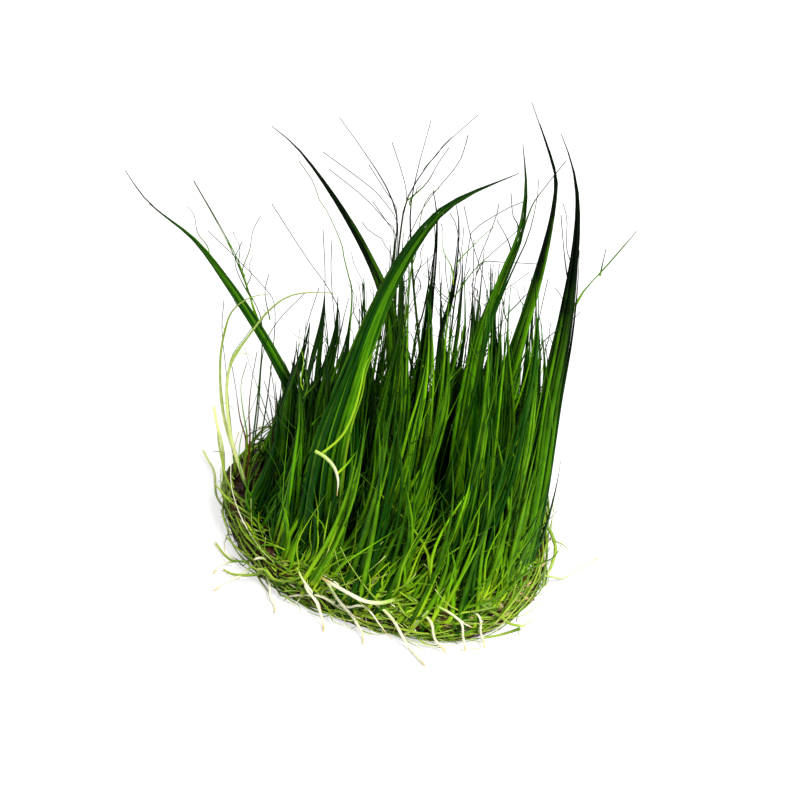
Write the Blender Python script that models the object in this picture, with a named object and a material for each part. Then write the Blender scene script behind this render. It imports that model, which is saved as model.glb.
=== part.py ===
# Dwarf hairgrass: a small plug of needle-leaved water grass, lifted out with its mat of roots.
# The root mat stands on its flat underside at z = 0. Tufts and tall locks of wet leaves grow from
# it, leaning to +X, and runners and roots come out over its rim. Lengths below are millimetres.
import math
import random

import bmesh
import bpy
import numpy as np
from mathutils import Matrix, Vector

METRES = 0.001
GAP = 0.32             # clear space left between neighbouring pieces
SEED = 2

# Root mat: its rim, as distances from its centre at equal angles counted from +X, and its height.
MAT_CENTRE = (0.0, -3.0)
MAT_RIM = (21.6, 24.0, 23.5, 21.0, 24.0, 24.8, 20.4, 17.0, 15.4, 16.8, 21.0, 22.4)
MAT_HEIGHT = 5.0
MAT_LUMP = 0.22        # rise and fall of its top
MAT_BULGE = 0.4        # in and out of its wall
MAT_SEGMENTS = 36
# Rings of the mat, from the edge of its underside to the middle of its top: share of the rim's
# distance, and height.
MAT_RINGS = ((0.97, 0.0), (1.0, 1.4), (1.0, 3.4), (0.95, 4.6), (0.86, MAT_HEIGHT),
             (0.7, MAT_HEIGHT), (0.52, MAT_HEIGHT), (0.34, MAT_HEIGHT), (0.16, MAT_HEIGHT))
FOOT = MAT_HEIGHT + MAT_LUMP + GAP

# Tufts: how many, how far apart, and the crown and locks of each one.
TUFT_COUNT = 29
TUFT_SPACING = 6.4
TUFT_LEAST_SPACING = 4.3
SPACING_STEP = 0.1
SPOTS_TRIED = 120      # at each spacing
RIM_MARGIN = 2.1       # how far the tufts stay inside the rim
CROWN_RADIUS = 1.7
CROWN_TOP_RADIUS = 1.4
CROWN_HEIGHT = 1.3
CROWN_SIDES = 6
LOCKS = 3
LOCKS_TRIED = 6
LOCK_OFFSET = 1.2      # from the crown's middle
LOCK_RADIUS = 1.25
LEAST_BASE_RADIUS = 0.6
LEAST_TIP_RADIUS = 0.18
LOCK_SEAT = 0.25       # how far a lock starts above the crown's foot
LOCK_SIDES = 4
LOCK_RINGS = 5
TIP_RADIUS = 0.2
CLEARANCE_SAMPLES = 48
STEPS_BETWEEN = 40     # of a smooth curve, from one point of its route to the next
WELD = 0.003           # how near two corners are before they become one
SHARP_ANGLE = 60

# How a tuft's locks stand: pairs of X and height across the mat, and their lean to +X and +Y.
TUFT_HEIGHTS = ((-23, 16), (-17, 24), (-12, 34), (-7, 42), (0, 44), (8, 43), (14, 40), (22, 38))
HEIGHT_RANGE = (0.8, 1.08)
FRONT_EDGE = (-8, -20)     # Y at which the front rows' ways begin and are full
REAR_EDGE = (-10, 14)      # Y at which the rows grow shorter and are shortest
LEFT_EDGE = (0, -18)       # X at which the left-hand rows' ways begin and are full
RIGHT_EDGE = (-5, 20)      # X at which the right-hand rows' ways begin and are full
REAR_SHORTENING = 0.34
LEAN = 5.0
FRONT_LEAN = 10.5
LEFT_LEAN = 1.5
RIGHT_LEAN = -1.0
BACKWARD = 3.0
FRONT_BACKWARD = 3.0
LOCK_SPREAD = 1.5          # outwards from the crown at the tip
STRAY = 1.0                # random part of the lean
# Shares of height, of lean and of backward way that a lock has reached along its route.
LOCK_WAY = ((0.3, 0.45, 0.15), (0.65, 0.85, 0.5))

# Tall locks, loops and rim runners: rings along each, sides, and how their ends thin out.
TALL_RINGS = 12
LOOP_RINGS = 13
RIM_RINGS = 8
ROOT_SIDES = 5
LOCK_TAPER = 1.7
TALL_TAPER = 2.2
LOOP_END = 0.6
RIM_END = 0.7

# Tall locks and single blades that stand out of the tufts: base radius, sides, and the route.
TALL_LOCKS = {
    "arching_lock": (1.7, 6, ((-9, -9, FOOT), (-7.5, -8.5, 20), (-5, -8, 30), (0.3, -6, 45),
                              (5.7, -4, 54), (10, -3, 57), (16.4, -2, 59.5))),
    "left_lock": (1.3, 6, ((2.4, 4.5, FOOT), (1.5, 5.5, 22.5), (0.7, 6, 33), (-1.2, 7, 39.5),
                           (-5, 8, 47.5), (-10.5, 10, 55.5), (-14, 11, 58.5))),
    "far_left_blade": (0.95, 6, ((-9.5, 9, FOOT), (-12, 9.5, 15), (-15.7, 10, 24.5), (-21, 11, 35),
                                 (-25, 12, 41), (-30.7, 13, 46), (-33.5, 14, 50.3))),
    "thin_left_blade": (0.5, 4, ((-12.5, 13, FOOT), (-13, 13, 13.5), (-16.9, 13.5, 25),
                                 (-19.8, 14.5, 36), (-25, 16, 47.5))),
    "dark_lock_1": (1.1, 5, ((2.6, -1.5, FOOT), (4.7, 1, 26), (6.1, 2, 38), (6.8, 4, 48.5),
                             (6.2, 5, 53))),
    "dark_lock_2": (1.1, 5, ((5.5, -6.5, FOOT), (7.2, -3, 34.5), (8.6, -2, 41), (9.4, 0, 50),
                             (9, 0.5, 53.5))),
    "right_inner_lock": (1.4, 6, ((9.8, -9.5, FOOT), (10.5, -5, 21), (12.4, -1, 34),
                                  (15.4, 1, 43.5), (17.1, 2, 48), (17.7, 3, 54), (17.1, 4, 60))),
    "right_tall_lock": (1.3, 6, ((13.3, 2, FOOT), (15, 3, 17.5), (17.3, 4, 28.5), (20.5, 6, 42.5),
                                 (21.8, 7.5, 51.5), (21.2, 8.5, 55), (18.4, 10, 62.5))),
    "right_edge_lock": (2.0, 6, ((19.4, -13.5, FOOT), (20.7, -12, 17), (21.6, -10, 31),
                                 (23, -8.5, 41), (24, -7, 50.5), (24, -5, 57.5), (22.8, -4, 62),
                                 (21, -3, 65.5))),
    "right_blade": (0.6, 4, ((19.2, -2, FOOT), (21.8, -3.2, 27.5), (24, -3.4, 41),
                             (28, -2, 46.5), (31.4, 0, 50))),
    "fine_blade_1": (0.6, 4, ((1, 10.5, FOOT), (1.7, 10.2, 32.5), (2.4, 10.5, 43.5), (3.4, 11, 48.5),
                              (7.2, 12, 54.5), (12, 13, 59))),
    "fine_blade_2": (0.6, 4, ((-3, 12.5, FOOT), (0.3, 13, 30.5), (1.6, 14, 40.3), (1.6, 14.3, 43.4),
                              (0.1, 15, 47.4), (-2.4, 16, 51.4), (-5.7, 17, 56.4))),
    "fine_blade_3": (0.6, 4, ((6.5, 6.5, FOOT), (4.6, 7.5, 29.5), (3.6, 8, 45), (3.6, 8, 49.5),
                              (4.4, 9, 54), (6, 10, 60))),
}

# Runners that stand up or loop in the air at the left edge: radius and route.
LOOP_RUNNERS = {
    "runner_loop_outer": (0.34, ((-20.8, 8.6, 5.8), (-22.4, 9.2, 13), (-22.4, 9, 23),
                                 (-21.2, 8.5, 29.5), (-19.9, 8, 32.6), (-17.5, 7.2, 35),
                                 (-14.7, 6.6, 36))),
    "runner_loop_inner": (0.34, ((-19.6, 4.6, 5.8), (-21.3, 5.6, 13.5), (-21.0, 5.6, 24),
                                 (-17.2, 5, 31.4), (-14.3, 4.4, 35.6), (-11.6, 3.8, 37.8),
                                 (-8.1, 2.9, 38.8), (-5.5, 2.2, 39))),
}

# Runners and roots that hug the rim: radius, and a route of (angle in degrees, distance outside
# the rim, height) that passes just clear of the mat's top and wall.
RIM_RUNNERS = {
    "runner_left_rim": (0.32, ((141, 6.8, 9), (144, 4.8, 7.4), (147, 3.0, 5.6), (152, 1.4, 4.0),
                               (157, 0.8, 2.8), (163, 0.8, 1.8))),
    "runner_front_white": (0.38, ((231, -2.4, 6.2), (240, -1.6, 6.2), (250, -1.3, 6.2),
                                  (262, -1.7, 6.2), (274, -2.2, 6.2))),
    "runner_front_right": (0.32, ((306, -0.2, 6.0), (309, 1.2, 4.6), (313, 2.2, 2.6),
                                  (318, 3.0, 1.2))),
    "runner_right_curl": (0.38, ((357, -0.4, 5.6), (356, 1.0, 4.6), (352, 1.9, 3.0),
                                 (347, 1.5, 1.6), (343, 1.0, 0.7))),
    "root_left_back": (0.28, ((144, 8.0, 1.2), (147, 5.1, 0.6), (152, 3.2, 0.4), (157, 1.9, 0.4),
                              (163, 1.2, 0.5))),
    "root_left_1": (0.26, ((195, 0.8, 1.6), (190, 1.6, 0.8), (185, 2.4, 0.45), (179, 3.2, 0.4))),
    "root_left_2": (0.26, ((200, 0.8, 2.4), (198, 2.0, 1.0), (196, 3.0, 0.5), (193, 4.0, 0.4))),
    "root_front_1": (0.3, ((206, 0.8, 2.6), (213, 1.6, 1.2), (219, 2.6, 0.5), (223, 3.9, 0.4))),
    "root_front_2": (0.3, ((224, -1.0, 6.0), (232, 0.9, 4.6), (239, 1.5, 2.2), (243, 2.2, 0.7),
                           (245, 3.4, 0.4))),
    "root_front_3": (0.32, ((234, -0.8, 6.2), (242, 0.0, 6.0), (250, 1.1, 4.2), (257, 1.3, 2.2),
                            (261, 1.8, 0.8), (262, 3.4, 0.4))),
    "root_front_4": (0.34, ((262, -0.4, 6.0), (269, 0.7, 5.0), (275, 1.3, 3.0), (279, 1.9, 1.0),
                            (281, 3.4, 0.45), (283, 5.4, 0.45))),
    "root_front_5": (0.3, ((283, -0.6, 6.0), (287, 1.0, 4.4), (289, 1.5, 1.8), (291, 2.6, 0.5))),
    "root_front_6": (0.28, ((294, -0.6, 6.0), (297, 1.1, 4.2), (298, 1.5, 1.6), (297, 2.6, 0.5))),
    "root_front_7": (0.28, ((301, -0.8, 6.0), (303.5, 1.0, 4.4), (304, 1.5, 1.8),
                            (303, 2.8, 0.5))),
    "root_right": (0.24, ((339, 0.9, 2.0), (344, 3.0, 0.5), (350, 5.4, 0.4), (355, 8.0, 0.4))),
}

# Base colour, roughness and metallic value of each kind of piece.
FINISHES = {
    "root_mat": ((0.035, 0.018, 0.008), 0.85, 0.0),
    "leaf": ((0.035, 0.150, 0.010), 0.38, 0.0),
    "dark_leaf": ((0.010, 0.060, 0.006), 0.32, 0.0),
    "lime_leaf": ((0.230, 0.420, 0.030), 0.40, 0.0),
    "runner": ((0.550, 0.620, 0.220), 0.45, 0.0),
    "root": ((0.820, 0.780, 0.620), 0.50, 0.0),
}
DARK_PIECES = ("left_lock", "dark_lock_1", "dark_lock_2", "right_edge_lock", "right_tall_lock")
LIME_PIECES = ("right_blade", "thin_left_blade", "fine_blade_1", "fine_blade_2", "fine_blade_3")


def clear_scene():
    for thing in list(bpy.data.objects):
        bpy.data.objects.remove(thing, do_unlink=True)


def smooth_route(points, count):
    # Catmull-Rom curve through the points, read at evenly spaced steps.
    points = np.array(points, dtype=float)
    padded = np.vstack([2 * points[0] - points[1], points, 2 * points[-1] - points[-2]])
    spans = len(padded) - 3
    fine = []
    for step in np.linspace(0, spans, STEPS_BETWEEN * spans + 1):
        index = min(int(step), spans - 1)
        t = step - index
        a, b, c, d = padded[index:index + 4]
        fine.append(0.5 * (2 * b + (c - a) * t + (2 * a - 5 * b + 4 * c - d) * t * t
                           + (3 * b - a - 3 * c + d) * t ** 3))
    return even_steps(np.array(fine), count)


def even_steps(line, count):
    # The same line with `count` points at equal distances along it.
    lengths = np.concatenate([[0], np.cumsum(np.linalg.norm(np.diff(line, axis=0), axis=1))])
    wanted = np.linspace(0, lengths[-1], count)
    return np.column_stack([np.interp(wanted, lengths, line[:, k]) for k in range(3)])


def rim_distance(angle):
    # Distance of the rim from the mat's centre at an angle in degrees.
    place = (angle % 360) * len(MAT_RIM) / 360
    index = int(place)
    t = place - index
    a, b, c, d = (MAT_RIM[(index + k) % len(MAT_RIM)] for k in (-1, 0, 1, 2))
    return 0.5 * (2 * b + (c - a) * t + (2 * a - 5 * b + 4 * c - d) * t * t
                  + (3 * b - a - 3 * c + d) * t ** 3)


def rim_point(angle, outside, height):
    radius = rim_distance(angle) + outside
    turn = math.radians(angle)
    return (MAT_CENTRE[0] + radius * math.cos(turn), MAT_CENTRE[1] + radius * math.sin(turn), height)


def make_material(name):
    colour, roughness, metallic = FINISHES[name]
    material = bpy.data.materials.new(name)
    material.use_nodes = True
    shader = material.node_tree.nodes["Principled BSDF"]
    shader.inputs["Base Color"].default_value = (*colour, 1)
    shader.inputs["Roughness"].default_value = roughness
    shader.inputs["Metallic"].default_value = metallic
    return material


def add_object(name, bm, material, parent):
    # Finish a bmesh drawn in millimetres as a named object in metres.
    bmesh.ops.scale(bm, vec=(METRES,) * 3, verts=bm.verts)
    bmesh.ops.recalc_face_normals(bm, faces=bm.faces)
    mesh = bpy.data.meshes.new(name)
    bm.to_mesh(mesh)
    bm.free()
    mesh.shade_smooth()
    mesh.set_sharp_from_angle(angle=math.radians(SHARP_ANGLE))
    mesh.materials.append(material)
    thing = bpy.data.objects.new(name, mesh)
    bpy.context.scene.collection.objects.link(thing)
    thing.parent = parent


def mat_lump(x, y):
    # Gentle rise and fall of the felted surface, between -1 and 1.
    waves = (math.sin(0.9 * x + 0.4 * y), math.sin(0.7 * y - 0.5 * x + 2), math.sin(1.3 * x - 1.1 * y))
    return sum(waves) / 3


def make_mat():
    # The rim's outline drawn up from the flat underside, over the wall and in across the top.
    bm = bmesh.new()
    angles = [360 * step / MAT_SEGMENTS for step in range(MAT_SEGMENTS)]
    share, height = MAT_RINGS[0]
    outline = [bm.verts.new(rim_point(angle, (share - 1) * rim_distance(angle), height))
               for angle in angles]
    bm.faces.new(outline)
    edges = list(bm.edges)
    for share, height in MAT_RINGS[1:]:
        made = bmesh.ops.extrude_edge_only(bm, edges=edges)["geom"]
        edges = [item for item in made if isinstance(item, bmesh.types.BMEdge) and item.is_boundary]
        for vert in (item for item in made if isinstance(item, bmesh.types.BMVert)):
            angle = math.degrees(math.atan2(vert.co.y - MAT_CENTRE[1], vert.co.x - MAT_CENTRE[0]))
            bulge = MAT_BULGE * math.sin(math.radians(5 * angle) + height) if share == 1 else 0
            vert.co = rim_point(angle, (share - 1) * rim_distance(angle) + bulge, height)
            if height == MAT_HEIGHT:
                vert.co.z += MAT_LUMP * mat_lump(vert.co.x, vert.co.y)
    bmesh.ops.contextual_create(bm, geom=edges)
    bmesh.ops.triangulate(bm, faces=bm.faces)
    bmesh.ops.recalc_face_normals(bm, faces=bm.faces)
    return bm


def tube(path, radii, sides):
    # A closed, tapering tube: one ring, drawn out and turned along the path.
    bm = bmesh.new()
    points = [Vector(point) for point in path]
    way = (points[1] - points[0]).normalized()
    made = bmesh.ops.create_circle(bm, cap_ends=True, segments=sides, radius=radii[0])["verts"]
    turn = Vector((0, 0, 1)).rotation_difference(way)
    bmesh.ops.rotate(bm, verts=made, cent=(0, 0, 0), matrix=turn.to_matrix())
    bmesh.ops.translate(bm, verts=made, vec=points[0])
    edges = list(bm.edges)
    for index in range(1, len(points)):
        made = bmesh.ops.extrude_edge_only(bm, edges=edges)["geom"]
        ring = [item for item in made if isinstance(item, bmesh.types.BMVert)]
        edges = [item for item in made if isinstance(item, bmesh.types.BMEdge) and item.is_boundary]
        ahead = points[min(index + 1, len(points) - 1)] - points[index - 1]
        turn = way.rotation_difference(ahead.normalized())
        way = ahead.normalized()
        bmesh.ops.rotate(bm, verts=ring, cent=points[index - 1], matrix=turn.to_matrix())
        bmesh.ops.translate(bm, verts=ring, vec=points[index] - points[index - 1])
        share = radii[index] / radii[index - 1]
        for vert in ring:
            vert.co = points[index] + (vert.co - points[index]) * share
    bmesh.ops.contextual_create(bm, geom=edges)
    bmesh.ops.triangulate(bm, faces=bm.faces)
    bmesh.ops.recalc_face_normals(bm, faces=bm.faces)
    return bm


def lock_radii(base, count, taper):
    # Thickness along a lock: full in its lower half, drawn out to a point above.
    along = np.linspace(0, 1, count)
    return TIP_RADIUS + (base - TIP_RADIUS) * (1 - along ** taper)


class Crowd:
    # The space already taken, as points with a radius, so that no two pieces touch.
    def __init__(self):
        self.points = np.empty((0, 3))
        self.radii = np.empty(0)

    def room(self, path):
        # The largest radius that fits at each point of the path.
        apart = np.linalg.norm(path[:, None] - self.points[None], axis=2) - self.radii[None] - GAP
        return apart.min(axis=1)

    def add(self, path, radii):
        line = even_steps(path, CLEARANCE_SAMPLES)
        along = np.linspace(0, 1, len(path))
        thickness = np.interp(np.linspace(0, 1, CLEARANCE_SAMPLES), along, radii)
        self.points = np.vstack([self.points, line])
        self.radii = np.concatenate([self.radii, thickness])


def fitted_radii(crowd, path, radii):
    # The wished radii, thinned where neighbours leave less room.
    line = even_steps(path, CLEARANCE_SAMPLES)
    room = crowd.room(line)
    along = np.linspace(0, 1, CLEARANCE_SAMPLES)
    reach = 1.0 / (len(path) - 1)
    fitted = []
    for index, place in enumerate(np.linspace(0, 1, len(path))):
        near = np.abs(along - place) <= reach
        fitted.append(min(radii[index], room[near].min()))
    return np.array(fitted)


def share_of_way(value, start, full):
    return min(max((value - start) / (full - start), 0), 1)


def tuft_route(x, y, turn, chance):
    # One lock of a tuft: up from the mat, leaning to +X and a little outwards from its crown.
    front = share_of_way(y, *FRONT_EDGE)
    rear = share_of_way(y, *REAR_EDGE)
    left = share_of_way(x, *LEFT_EDGE)
    right = share_of_way(x, *RIGHT_EDGE)
    height = np.interp(x, *zip(*TUFT_HEIGHTS)) * (1 - REAR_SHORTENING * rear)
    height *= chance.uniform(*HEIGHT_RANGE)
    lean = LEAN + FRONT_LEAN * front * (1 - right) + LEFT_LEAN * left + RIGHT_LEAN * right
    lean += LOCK_SPREAD * math.cos(turn) + chance.uniform(-STRAY, STRAY)
    back = BACKWARD + FRONT_BACKWARD * front
    back += LOCK_SPREAD * math.sin(turn) + chance.uniform(-STRAY, STRAY)
    tip = RIGHT_LEAN * right + chance.uniform(-STRAY, STRAY)
    start = FOOT + LOCK_SEAT
    between = [(x + across * lean, y + away * back, start + up * height)
               for up, across, away in LOCK_WAY]
    return [(x, y, start), *between, (x + lean + tip, y + back, start + height)]


def fuse(pieces):
    # Boolean union of closed meshes into one body.
    objects = []
    for bm in pieces:
        mesh = bpy.data.meshes.new("lock_guide")
        bm.to_mesh(mesh)
        bm.free()
        thing = bpy.data.objects.new("lock_guide", mesh)
        thing.hide_render = True
        thing.display_type = "WIRE"
        bpy.context.scene.collection.objects.link(thing)
        objects.append(thing)
    for other in objects[1:]:
        join = objects[0].modifiers.new("join", "BOOLEAN")
        join.operation = "UNION"
        join.solver = "EXACT"
        join.object = other
    depsgraph = bpy.context.evaluated_depsgraph_get()
    joined = bpy.data.meshes.new_from_object(objects[0].evaluated_get(depsgraph))
    for thing in objects:
        bpy.data.objects.remove(thing, do_unlink=True)
    bm = bmesh.new()
    bm.from_mesh(joined)
    bpy.data.meshes.remove(joined)
    bmesh.ops.remove_doubles(bm, verts=bm.verts, dist=WELD)
    bmesh.ops.triangulate(bm, faces=bm.faces)
    return bm


def fitted_locks(crowd, x, y, chance):
    # The locks of a tuft at this spot, or None where its neighbours leave no room for them.
    start = chance.uniform(0, math.tau)
    locks = []
    for index in range(LOCKS):
        turn = start + index * math.tau / LOCKS
        side = (x + LOCK_OFFSET * math.cos(turn), y + LOCK_OFFSET * math.sin(turn))
        for _ in range(LOCKS_TRIED):
            path = smooth_route(tuft_route(*side, turn, chance), LOCK_RINGS)
            radii = fitted_radii(crowd, path, lock_radii(LOCK_RADIUS, LOCK_RINGS, LOCK_TAPER))
            if radii.min() >= LEAST_TIP_RADIUS and radii[0] > LEAST_BASE_RADIUS:
                locks.append((path, radii))
                break
        else:
            return None
    return locks


def tuft_body(x, y, locks):
    crown = bmesh.new()
    place = Matrix.Translation((x, y, FOOT + CROWN_HEIGHT / 2))
    bmesh.ops.create_cone(crown, cap_ends=True, cap_tris=True, segments=CROWN_SIDES,
                          radius1=CROWN_RADIUS, radius2=CROWN_TOP_RADIUS, depth=CROWN_HEIGHT,
                          matrix=place)
    return fuse([crown] + [tube(path, radii, LOCK_SIDES) for path, radii in locks])


def place_tufts(crowd, chance):
    # Tufts spread over the mat, first far apart and then closer, clear of what stands there.
    tufts = []
    for spacing in np.arange(TUFT_SPACING, TUFT_LEAST_SPACING, -SPACING_STEP):
        for _ in range(SPOTS_TRIED):
            angle = chance.uniform(0, 360)
            inside = math.sqrt(chance.random()) * (rim_distance(angle) - RIM_MARGIN)
            x, y, _ = rim_point(angle, inside - rim_distance(angle), 0)
            if any(math.hypot(x - a, y - b) < spacing for a, b, _ in tufts):
                continue
            crown = np.array([(x, y, FOOT), (x, y, FOOT + CROWN_HEIGHT)])
            if crowd.room(crown).min() < CROWN_RADIUS:
                continue
            locks = fitted_locks(crowd, x, y, chance)
            if locks is None:
                continue
            for path, radii in locks:
                crowd.add(path, radii)
            crowd.add(crown, (CROWN_RADIUS, CROWN_TOP_RADIUS))
            tufts.append((x, y, locks))
            if len(tufts) == TUFT_COUNT:
                return tufts
    return tufts


def build():
    clear_scene()
    materials = {name: make_material(name) for name in FINISHES}
    plug = bpy.data.objects.new("hairgrass_plug", None)
    bpy.context.scene.collection.objects.link(plug)
    crowd = Crowd()
    add_object("root_mat", make_mat(), materials["root_mat"], plug)

    for name, (radius, sides, route) in TALL_LOCKS.items():
        path = smooth_route(route, TALL_RINGS)
        radii = lock_radii(radius, TALL_RINGS, TALL_TAPER)
        kind = "dark_leaf" if name in DARK_PIECES else "lime_leaf" if name in LIME_PIECES else "leaf"
        add_object(name, tube(path, radii, sides), materials[kind], plug)
        crowd.add(path, radii)

    for name, (radius, route) in LOOP_RUNNERS.items():
        path = smooth_route(route, LOOP_RINGS)
        radii = np.linspace(radius, radius * LOOP_END, LOOP_RINGS)
        add_object(name, tube(path, radii, ROOT_SIDES), materials["runner"], plug)
        crowd.add(path, radii)

    for name, (radius, route) in RIM_RUNNERS.items():
        path = smooth_route([rim_point(*step) for step in route], RIM_RINGS)
        radii = np.linspace(radius, radius * RIM_END, RIM_RINGS)
        kind = "runner" if name.startswith("runner") else "root"
        add_object(name, tube(path, radii, ROOT_SIDES), materials[kind], plug)
        crowd.add(path, radii)

    tufts = place_tufts(crowd, random.Random(SEED))
    for number, tuft in enumerate(tufts, start=1):
        add_object(f"tuft_{number:02d}", tuft_body(*tuft), materials["leaf"], plug)


build()
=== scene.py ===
import math
import random

import bmesh
import bpy
import numpy as np
from mathutils import Matrix, Vector, noise


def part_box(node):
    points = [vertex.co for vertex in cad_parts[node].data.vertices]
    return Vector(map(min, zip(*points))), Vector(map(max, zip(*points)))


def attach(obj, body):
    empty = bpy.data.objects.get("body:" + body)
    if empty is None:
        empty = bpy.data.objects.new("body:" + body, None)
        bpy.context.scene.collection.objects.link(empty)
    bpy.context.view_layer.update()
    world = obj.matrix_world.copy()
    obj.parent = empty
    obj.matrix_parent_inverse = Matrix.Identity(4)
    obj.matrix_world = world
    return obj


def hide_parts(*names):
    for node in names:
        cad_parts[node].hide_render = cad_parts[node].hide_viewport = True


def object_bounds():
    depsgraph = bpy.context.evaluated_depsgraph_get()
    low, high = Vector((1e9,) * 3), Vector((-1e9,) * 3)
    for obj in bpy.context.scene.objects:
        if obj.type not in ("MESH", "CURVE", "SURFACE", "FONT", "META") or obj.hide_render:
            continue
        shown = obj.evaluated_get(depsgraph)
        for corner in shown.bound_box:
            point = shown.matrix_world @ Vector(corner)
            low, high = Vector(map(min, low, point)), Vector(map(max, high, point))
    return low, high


# Dwarf hairgrass: a wet plug of needle leaves on a small mat of roots, dressed around its solids.
# Settings are in millimetres and degrees; meshes are made in metres.

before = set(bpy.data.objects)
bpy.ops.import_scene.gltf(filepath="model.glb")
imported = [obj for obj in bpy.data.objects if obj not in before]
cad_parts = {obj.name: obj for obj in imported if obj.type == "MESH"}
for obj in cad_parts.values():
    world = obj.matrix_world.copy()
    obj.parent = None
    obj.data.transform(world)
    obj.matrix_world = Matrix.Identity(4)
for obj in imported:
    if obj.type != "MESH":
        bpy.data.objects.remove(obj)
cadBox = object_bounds()
mm = 0.001
print("solids loaded:", len(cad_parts), "nodes")


# Helpers for shaders, objects and chance

def addNode(tree, kind, **settings):
    made = tree.nodes.new(kind)
    for name, value in settings.items():
        setattr(made, name, value)
    return made


def feed(tree, socket, value):
    # Links a socket's source to it, or sets it to a plain value.
    if isinstance(value, bpy.types.NodeSocket):
        tree.links.new(value, socket)
    else:
        socket.default_value = value


def setInputs(node, values):
    # Plain values for a node's inputs, by name; three numbers are a colour.
    for title, value in values.items():
        node.inputs[title].default_value = (*value, 1) if isinstance(value, tuple) else value


def blendColour(tree, share, first, second):
    made = addNode(tree, "ShaderNodeMix", data_type="RGBA")
    for key, value in (("Factor_Float", share), ("A_Color", first), ("B_Color", second)):
        feed(tree, next(item for item in made.inputs if item.identifier == key), value)
    return next(item for item in made.outputs if item.identifier == "Result_Color")


def remap(tree, value, low, high, start=0.0, end=1.0, smooth=True):
    made = addNode(tree, "ShaderNodeMapRange", interpolation_type="SMOOTHSTEP" if smooth else "LINEAR")
    for name, item in (("Value", value), ("From Min", low), ("From Max", high), ("To Min", start),
                       ("To Max", end)):
        feed(tree, made.inputs[name], item)
    return made.outputs["Result"]


noiseSpan = (0.3, 0.7)  # where most values of a noise lie


def vary(tree, patches, low, high):
    return remap(tree, patches, *noiseSpan, low, high, False)


def calculate(tree, operation, first, second=0.0):
    made = addNode(tree, "ShaderNodeMath", operation=operation)
    feed(tree, made.inputs[0], first)
    feed(tree, made.inputs[1], second)
    return made.outputs["Value"]


def mottle(tree, size, detail=2.0, stretch=(1.0, 1.0, 1.0)):
    # Noise on the object's own coordinates; size is the width of a patch.
    place = addNode(tree, "ShaderNodeTexCoord")
    turn = addNode(tree, "ShaderNodeMapping")
    turn.inputs["Scale"].default_value = stretch
    made = addNode(tree, "ShaderNodeTexNoise")
    setInputs(made, {"Scale": 1 / (size * mm), "Detail": detail})
    tree.links.new(place.outputs["Object"], turn.inputs["Vector"])
    tree.links.new(turn.outputs["Vector"], made.inputs["Vector"])
    return made.outputs["Fac"]


def readAttribute(tree, name):
    return addNode(tree, "ShaderNodeAttribute", attribute_name=name).outputs["Fac"]


def newGroup(name, colours, numbers=()):
    # A group that takes these colours and numbers and puts out a colour, a roughness and a height.
    group = bpy.data.node_groups.new(name, "ShaderNodeTree")
    for way, titles, kind in (("INPUT", colours, "Color"), ("INPUT", numbers, "Float"),
                              ("OUTPUT", ("Colour",), "Color"), ("OUTPUT", ("Roughness", "Height"), "Float")):
        for title in titles:
            group.interface.new_socket(title, in_out=way, socket_type="NodeSocket" + kind)
    return group, addNode(group, "NodeGroupInput").outputs, addNode(group, "NodeGroupOutput").inputs


def putOut(group, result, colour, roughness, height):
    for title, value in (("Colour", colour), ("Roughness", roughness), ("Height", height)):
        feed(group, result[title], value)
    return group


def show(name, data):
    thing = bpy.data.objects.new(name, data)
    bpy.context.scene.collection.objects.link(thing)
    return thing


def meshFrom(bm, name):
    mesh = bpy.data.meshes.new(name)
    bm.to_mesh(mesh)
    bm.free()
    return mesh


def within(chance, middle, spread, low=0, high=1):
    # A random value around the middle, kept between low and high.
    return min(max(chance.gauss(middle, spread), low), high)


def scatter(chance, spread, up=0):
    return np.array([chance.gauss(0, spread), chance.gauss(0, spread), up])


# Camera, floor and light

view = {"eye": (2.1, -196.96, 177.36), "target": (2.1, 11.39, 14.578), "lens": 85.0,
        "sensor": 36.0, "picture": 800, "nearest": 0.001}


def viewAxes():
    eye = Vector(view["eye"])
    ahead = (Vector(view["target"]) - eye).normalized()
    right = ahead.cross(Vector((0, 0, 1))).normalized()
    return eye, ahead, right, right.cross(ahead)


def fromPicture(across, down, depth):
    # The point seen at a pixel of the 800 x 800 picture, on the upright plane Y = depth.
    eye, ahead, right, up = viewAxes()
    middle = view["picture"] / 2
    half = view["sensor"] / view["lens"] / 2
    ray = ahead + right * (half * (across - middle) / middle) + up * (half * (middle - down) / middle)
    return np.array(eye + ray * ((depth - eye.y) / ray.y))


def onLevel(across, down, level):
    # The point seen at a pixel of that picture, at the height Z = level.
    near, far = (fromPicture(across, down, depth) for depth in (0, 10))
    return near + (far - near) * ((level - near[2]) / (far[2] - near[2]))


def addCamera():
    eye, ahead, right, up = viewAxes()
    data = bpy.data.cameras.new("camera")
    data.lens = view["lens"]
    data.sensor_width = view["sensor"]
    data.clip_start = view["nearest"]
    camera = show("camera", data)
    camera.matrix_world = Matrix.Translation(eye * mm) @ ahead.to_track_quat("-Z", "Y").to_matrix().to_4x4()
    bpy.context.scene.camera = camera


studio = {"floorSize": 6000, "floor": (0.32, 0.32, 0.316), "floorRoughness": 0.9, "floorShine": 0.1,
          "floorGlow": 0.64, "world": (1.0, 1.0, 1.0), "ambient": 0.2, "background": 1.0,
          "lampAim": (0, 0, 25),
          "lamps": (("key", (200, -230, 430), 140, 6.0), ("fill", (-330, -160, 260), 300, 0.7),
                    ("back", (-60, 380, 330), 260, 1.2))}


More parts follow.
